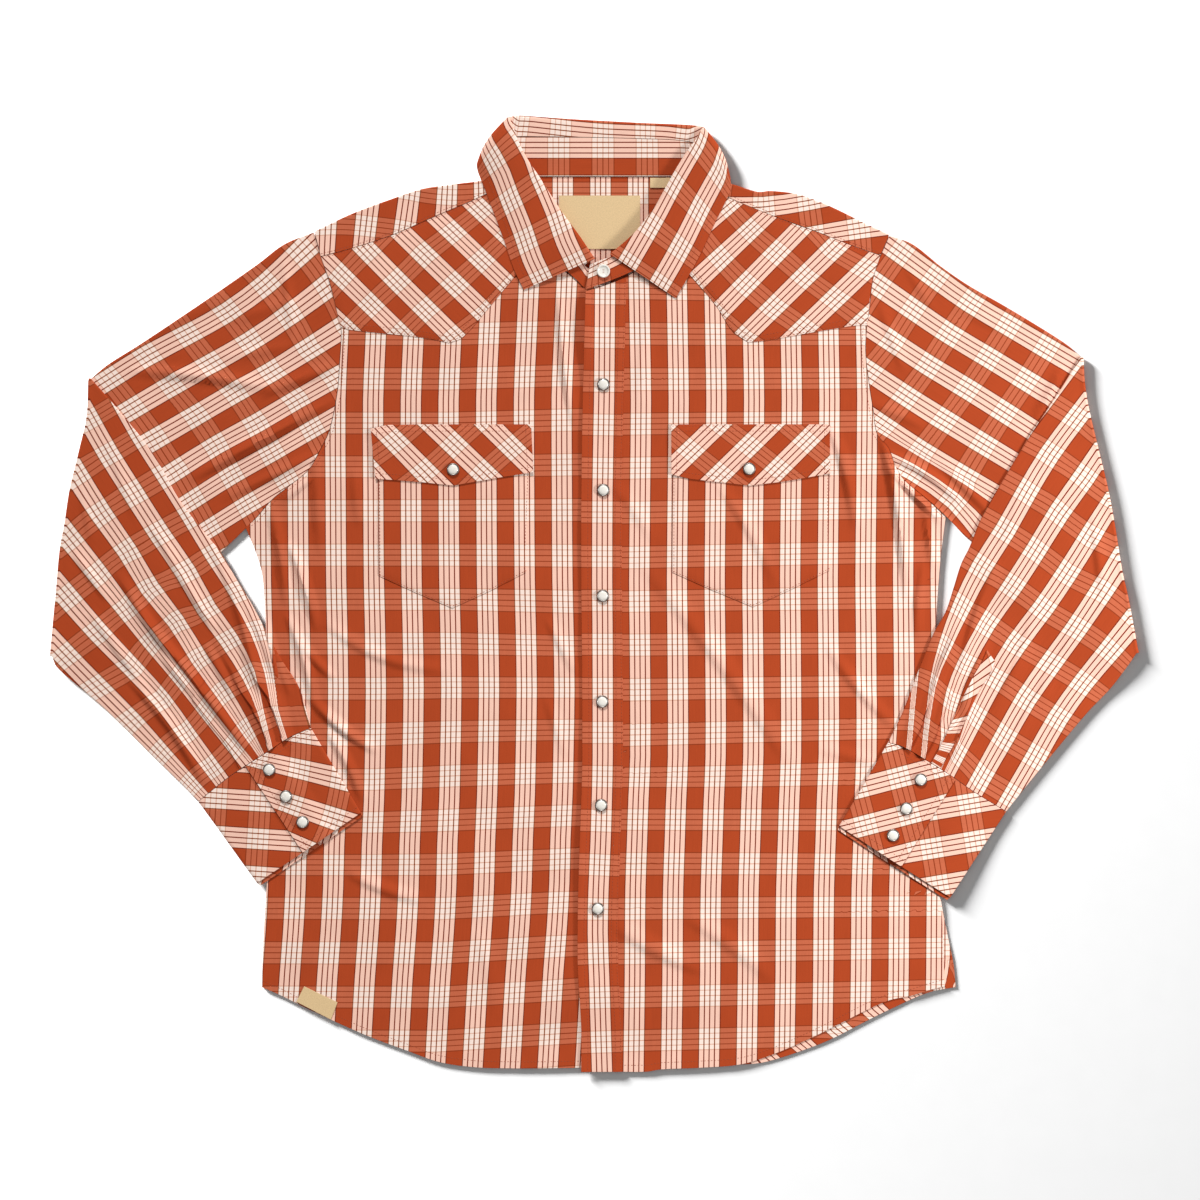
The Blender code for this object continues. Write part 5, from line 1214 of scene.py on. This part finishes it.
# -----------------------------------------------------------------------------------------------------------
# Tags: tan woven labels, left plain here: one under the back of the neck, the size beside it, and one folded
# over the hem.  They are woven finer than the shirt and a little shiny.
TAG_WALL, TAG_CLOTH = 0.8, 0.5  # a tag in the solids and as drawn
TAG_YARN = 0.5  # spacing of its ribs, drawn coarser than real ones, so that they show
TAN = "DDBE8E"
tag_weave, tree, shader = new_material("woven_label_satin")
place = new_node(tree, "ShaderNodeUVMap", uv_map="check")
speckle = new_node(tree, "ShaderNodeTexNoise", {"Vector": place.outputs["UV"], "Scale": 900.0,
                                                "Detail": 2.0})
tone = new_node(tree, "ShaderNodeMapRange", {0: speckle.outputs["Fac"], 1: 0.3, 2: 0.7, 3: 0.9, 4: 1.06})
dyed = new_node(tree, "ShaderNodeMix", {0: 1.0, 6: linear(TAN), 7: tone.outputs[0]}, data_type="RGBA",
                blend_type="MULTIPLY")
tree.links.new(dyed.outputs[2], shader.inputs["Base Color"])
rib_scale = WAVE_LENGTH / (TAG_YARN * MM)
ribs = new_node(tree, "ShaderNodeTexWave", {"Vector": place.outputs["UV"], "Scale": rib_scale},
                bands_direction="Y")
face = new_node(tree, "ShaderNodeBump", {"Strength": 0.3, "Distance": 0.0001, "Height": ribs.outputs["Fac"]})
tree.links.new(face.outputs[0], shader.inputs["Normal"])
shader.inputs["Roughness"].default_value = 0.6
for name, node, top, bottom, height, flat, rests_on in (
        ("neck_label", "neck_tag", [(-32, 357), (41, 357)], [(-32, 309), (41, 309)],
         lambda x, y: WALL + GAP + TAG_WALL / 2, (73, 48), "back_yoke_piece"),
        ("size_label", "size_tag", [(50, 373), (70, 373)], [(50, 364), (70, 364)],
         lambda x, y: WALL + GAP + TAG_WALL / 2, (20, 10), "back_yoke_piece"),
        ("hem_label", "hem_tag", [(-261, -354), (-231, -368.5)], [(-268, -368), (-237, -384)],
         lambda x, y: front_height(x, y) + WALL / 2 + GAP + TAG_WALL / 2, (34, 17), "front_panel_right")):
    sides = [stations([top[i], bottom[i]], 12) for i in (0, 1)]
    places = raised(patch(*sides, stations(top, 20), stations(bottom, 20)), height)
    ribs_along = [[(x * MM, y * MM) for x, y, z in row] for row in places]
    sewn(cloth_piece(name, places, ribs_along, material=tag_weave, wall=TAG_CLOTH), node, flat,
         cut_area(places), rests_on=(rests_on,))

# -----------------------------------------------------------------------------------------------------------
# Snaps: western pearl snaps, each a cloudy pearl cap held in a nickel ring: six down the band, one on each
# flap, three on each cuff.  The collar stand closes with a sewn white button instead.
NICKEL = "8D8580"
BAND_SNAPS = [(8, 187), (8, 92), (7.5, -3), (7, -98), (6, -191), (3, -284)]
FLAP_SNAPS = [("right", -127, 110.5), ("left", 139, 111)]
CUFF_SNAPS = {"right": [(-292, -159), (-277, -183), (-262, -206)],
              "left": [(293, -168), (280, -194), (268, -218)]}
NECK_BUTTON = (8, 288.5)
SNAP_STEPS, PEARL_RADIUS, CUFF_SNAP_GAP = 40, 4.4, 0.4
STAND_MID, BUTTON_DISH, THREAD_REACH = 4.8, 1.3, 1.5  # the stand's lap, the button's middle, its thread

pearl, tree, shader = new_material("pearl_resin")
place = new_node(tree, "ShaderNodeTexCoord")
clouds = new_node(tree, "ShaderNodeTexNoise", {"Vector": place.outputs["Object"], "Scale": 260.0,
                                               "Detail": 3.0, "Distortion": 1.5})
cloudy = new_node(tree, "ShaderNodeMix", {0: clouds.outputs["Fac"], 6: linear("D9D2C4"),
                                              7: linear("FBF8F2")}, data_type="RGBA")
tree.links.new(cloudy.outputs[2], shader.inputs["Base Color"])
shader.inputs["Roughness"].default_value = 0.22
shader.inputs["Coat Weight"].default_value = 0.6

nickel, tree, shader = new_material("nickel_ring")
place = new_node(tree, "ShaderNodeTexCoord")
wear = new_node(tree, "ShaderNodeTexNoise", {"Vector": place.outputs["Object"], "Scale": 900.0,
                                             "Detail": 2.0})
dull = new_node(tree, "ShaderNodeMapRange", {0: wear.outputs["Fac"], 3: 0.25, 4: 0.5})
tree.links.new(dull.outputs[0], shader.inputs["Roughness"])
shader.inputs["Base Color"].default_value = linear(NICKEL)
shader.inputs["Metallic"].default_value = 1.0


def turned(name, node, profile, x, y, z, materials, inner_radius):
    """A turned piece: its profile (radius, height) spun round, with a second material outside a radius."""
    bm = bmesh.new()
    verts = [bm.verts.new((radius * MM, 0, height * MM)) for radius, height in profile]
    edges = [bm.edges.new((a, b)) for a, b in zip(verts, verts[1:])]
    bmesh.ops.spin(bm, geom=verts + edges, axis=(0, 0, 1), cent=(0, 0, 0), angle=2 * pi,
                   steps=SNAP_STEPS, use_merge=True)
    bmesh.ops.remove_doubles(bm, verts=bm.verts, dist=0.001 * MM)
    bmesh.ops.recalc_face_normals(bm, faces=bm.faces)
    for face in bm.faces:
        middle = face.calc_center_median()
        outside = hypot(middle.x, middle.y) > inner_radius * MM
        face.material_index = 1 if outside and len(materials) > 1 else 0
    bmesh.ops.translate(bm, verts=bm.verts, vec=(Vector((x, y, z)) - PLAN_MIDDLE) * MM)
    mesh = bpy.data.meshes.new(name)
    bm.to_mesh(mesh)
    bm.free()
    piece = finished(name, mesh, *materials)
    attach(piece, "root")
    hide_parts(node)


SNAP_PROFILE = [(0, 2.5), (1.6, 2.45), (3.2, 2.2), (4.1, 1.8), (4.35, 1.5), (4.5, 1.75), (4.8, 1.95),
                (5.2, 1.8), (5.55, 1.4), (5.7, 0.9), (5.7, 0.1), (5.5, 0), (0, 0)]
for number, (x, y) in enumerate(BAND_SNAPS, 1):
    turned(f"pearl_snap_band_{number}", f"band_snap_{number}", SNAP_PROFILE, x, y,
           over_front(x, y) + WALL / 2 + GAP, (pearl, nickel), PEARL_RADIUS)
for side, x, y in FLAP_SNAPS:
    turned(f"pearl_snap_flap_{side}", f"flap_snap_{side}", SNAP_PROFILE, x, y,
           over_pocket(x, y) + WALL / 2 + GAP, (pearl, nickel), PEARL_RADIUS)
for side, spots in CUFF_SNAPS.items():
    for number, (x, y) in enumerate(spots, 1):
        turned(f"pearl_snap_cuff_{side}_{number}", f"cuff_snap_{side}_{number}", SNAP_PROFILE, x, y,
               cuff_height(x, y, 3) + STIFF_WALL / 2 + CUFF_SNAP_GAP, (pearl, nickel), PEARL_RADIUS)
BUTTON_PROFILE = [(0, 1.3), (3.4, 1.3), (4.1, 1.6), (4.7, 2.2), (5.4, 2.3), (5.9, 1.9), (6.0, 1.2),
                  (5.6, 0.5), (4.8, 0.1), (0, 0)]
button_foot = STAND_MID + STIFF_WALL / 2 + GAP + loft(*NECK_BUTTON)
turned("collar_button", "neck_button", BUTTON_PROFILE, *NECK_BUTTON, button_foot, (pearl,), 9)
button_face = button_foot + BUTTON_DISH
stitching("button_thread", [[(NECK_BUTTON[0] + reach, NECK_BUTTON[1] + y, button_face)
                             for reach in (-THREAD_REACH, THREAD_REACH)] for y in (-1, 1)], wall=0)

# -----------------------------------------------------------------------------------------------------------
# Table, light and camera: a white table, soft daylight from beyond the collar and a lamp on the wearer's
# left that together model the cloth, a second lamp that throws the shirt's shadow on the table past its left
# side and hem, a pale room, and a camera straight above.
TABLE_SIZE, TABLE_DROP = 6, 0.0004
bpy.ops.mesh.primitive_plane_add(size=TABLE_SIZE, location=(0, 0, -TABLE_DROP))
table = bpy.context.object
table.name = "table"
matt_white, tree, shader = new_material("matt_white_board")
place = new_node(tree, "ShaderNodeTexCoord")
grain = new_node(tree, "ShaderNodeTexNoise", {"Vector": place.outputs["Object"], "Scale": 40.0})
paper = new_node(tree, "ShaderNodeMapRange", {0: grain.outputs["Fac"], 3: 0.9, 4: 0.93})
tree.links.new(paper.outputs[0], shader.inputs["Base Color"])
shader.inputs["Roughness"].default_value = 0.9
table.data.materials.append(matt_white)

for name, kind, energy, place, lights_table in (("daylight", "SUN", 2.72, (-0.14, 1.61, 1.18), False),
                                                ("side_lamp", "AREA", 19.7, (1.5, 0.0, 0.9), False),
                                                ("table_lamp", "AREA", 560.0, (-2.5, 2.4, 1.0), True)):
    lamp = bpy.data.lights.new(name, kind)
    lamp.energy = energy
    if kind == "SUN":
        lamp.angle = radians(12)
    else:
        lamp.shape = "DISK"
        lamp.size = 0.9 if lights_table else 0.4
    lamp_object = bpy.data.objects.new(name, lamp)
    bpy.context.scene.collection.objects.link(lamp_object)
    lamp_object.location = place
    lamp_object.rotation_euler = (-lamp_object.location).to_track_quat("-Z", "Y").to_euler()
    # the table is lit by its own lamp alone, and the shirt by the other two
    lit = bpy.data.collections.new(name + "_lights")
    lit.objects.link(table)
    lit.collection_objects[0].light_linking.link_state = "INCLUDE" if lights_table else "EXCLUDE"
    lamp_object.light_linking.receiver_collection = lit

room = bpy.data.worlds.new("pale_room")
room.use_nodes = True
room.node_tree.nodes["Background"].inputs["Color"].default_value = (1.0, 1.0, 1.0, 1.0)
room.node_tree.nodes["Background"].inputs["Strength"].default_value = 0.27
bpy.context.scene.world = room
bpy.context.scene.view_settings.view_transform = "Standard"

CAMERA_LENS, SENSOR = 100.0, 36.0
VIEW_WIDTH, CAMERA_OVER = 1080.0, (5.15, -5.8)
camera = bpy.data.cameras.new("camera")
camera.lens, camera.sensor_width = CAMERA_LENS, SENSOR
camera_object = bpy.data.objects.new("camera", camera)
bpy.context.scene.collection.objects.link(camera_object)
camera_object.location = (CAMERA_OVER[0] * MM, CAMERA_OVER[1] * MM, VIEW_WIDTH * MM * CAMERA_LENS / SENSOR)
bpy.context.scene.camera = camera_object
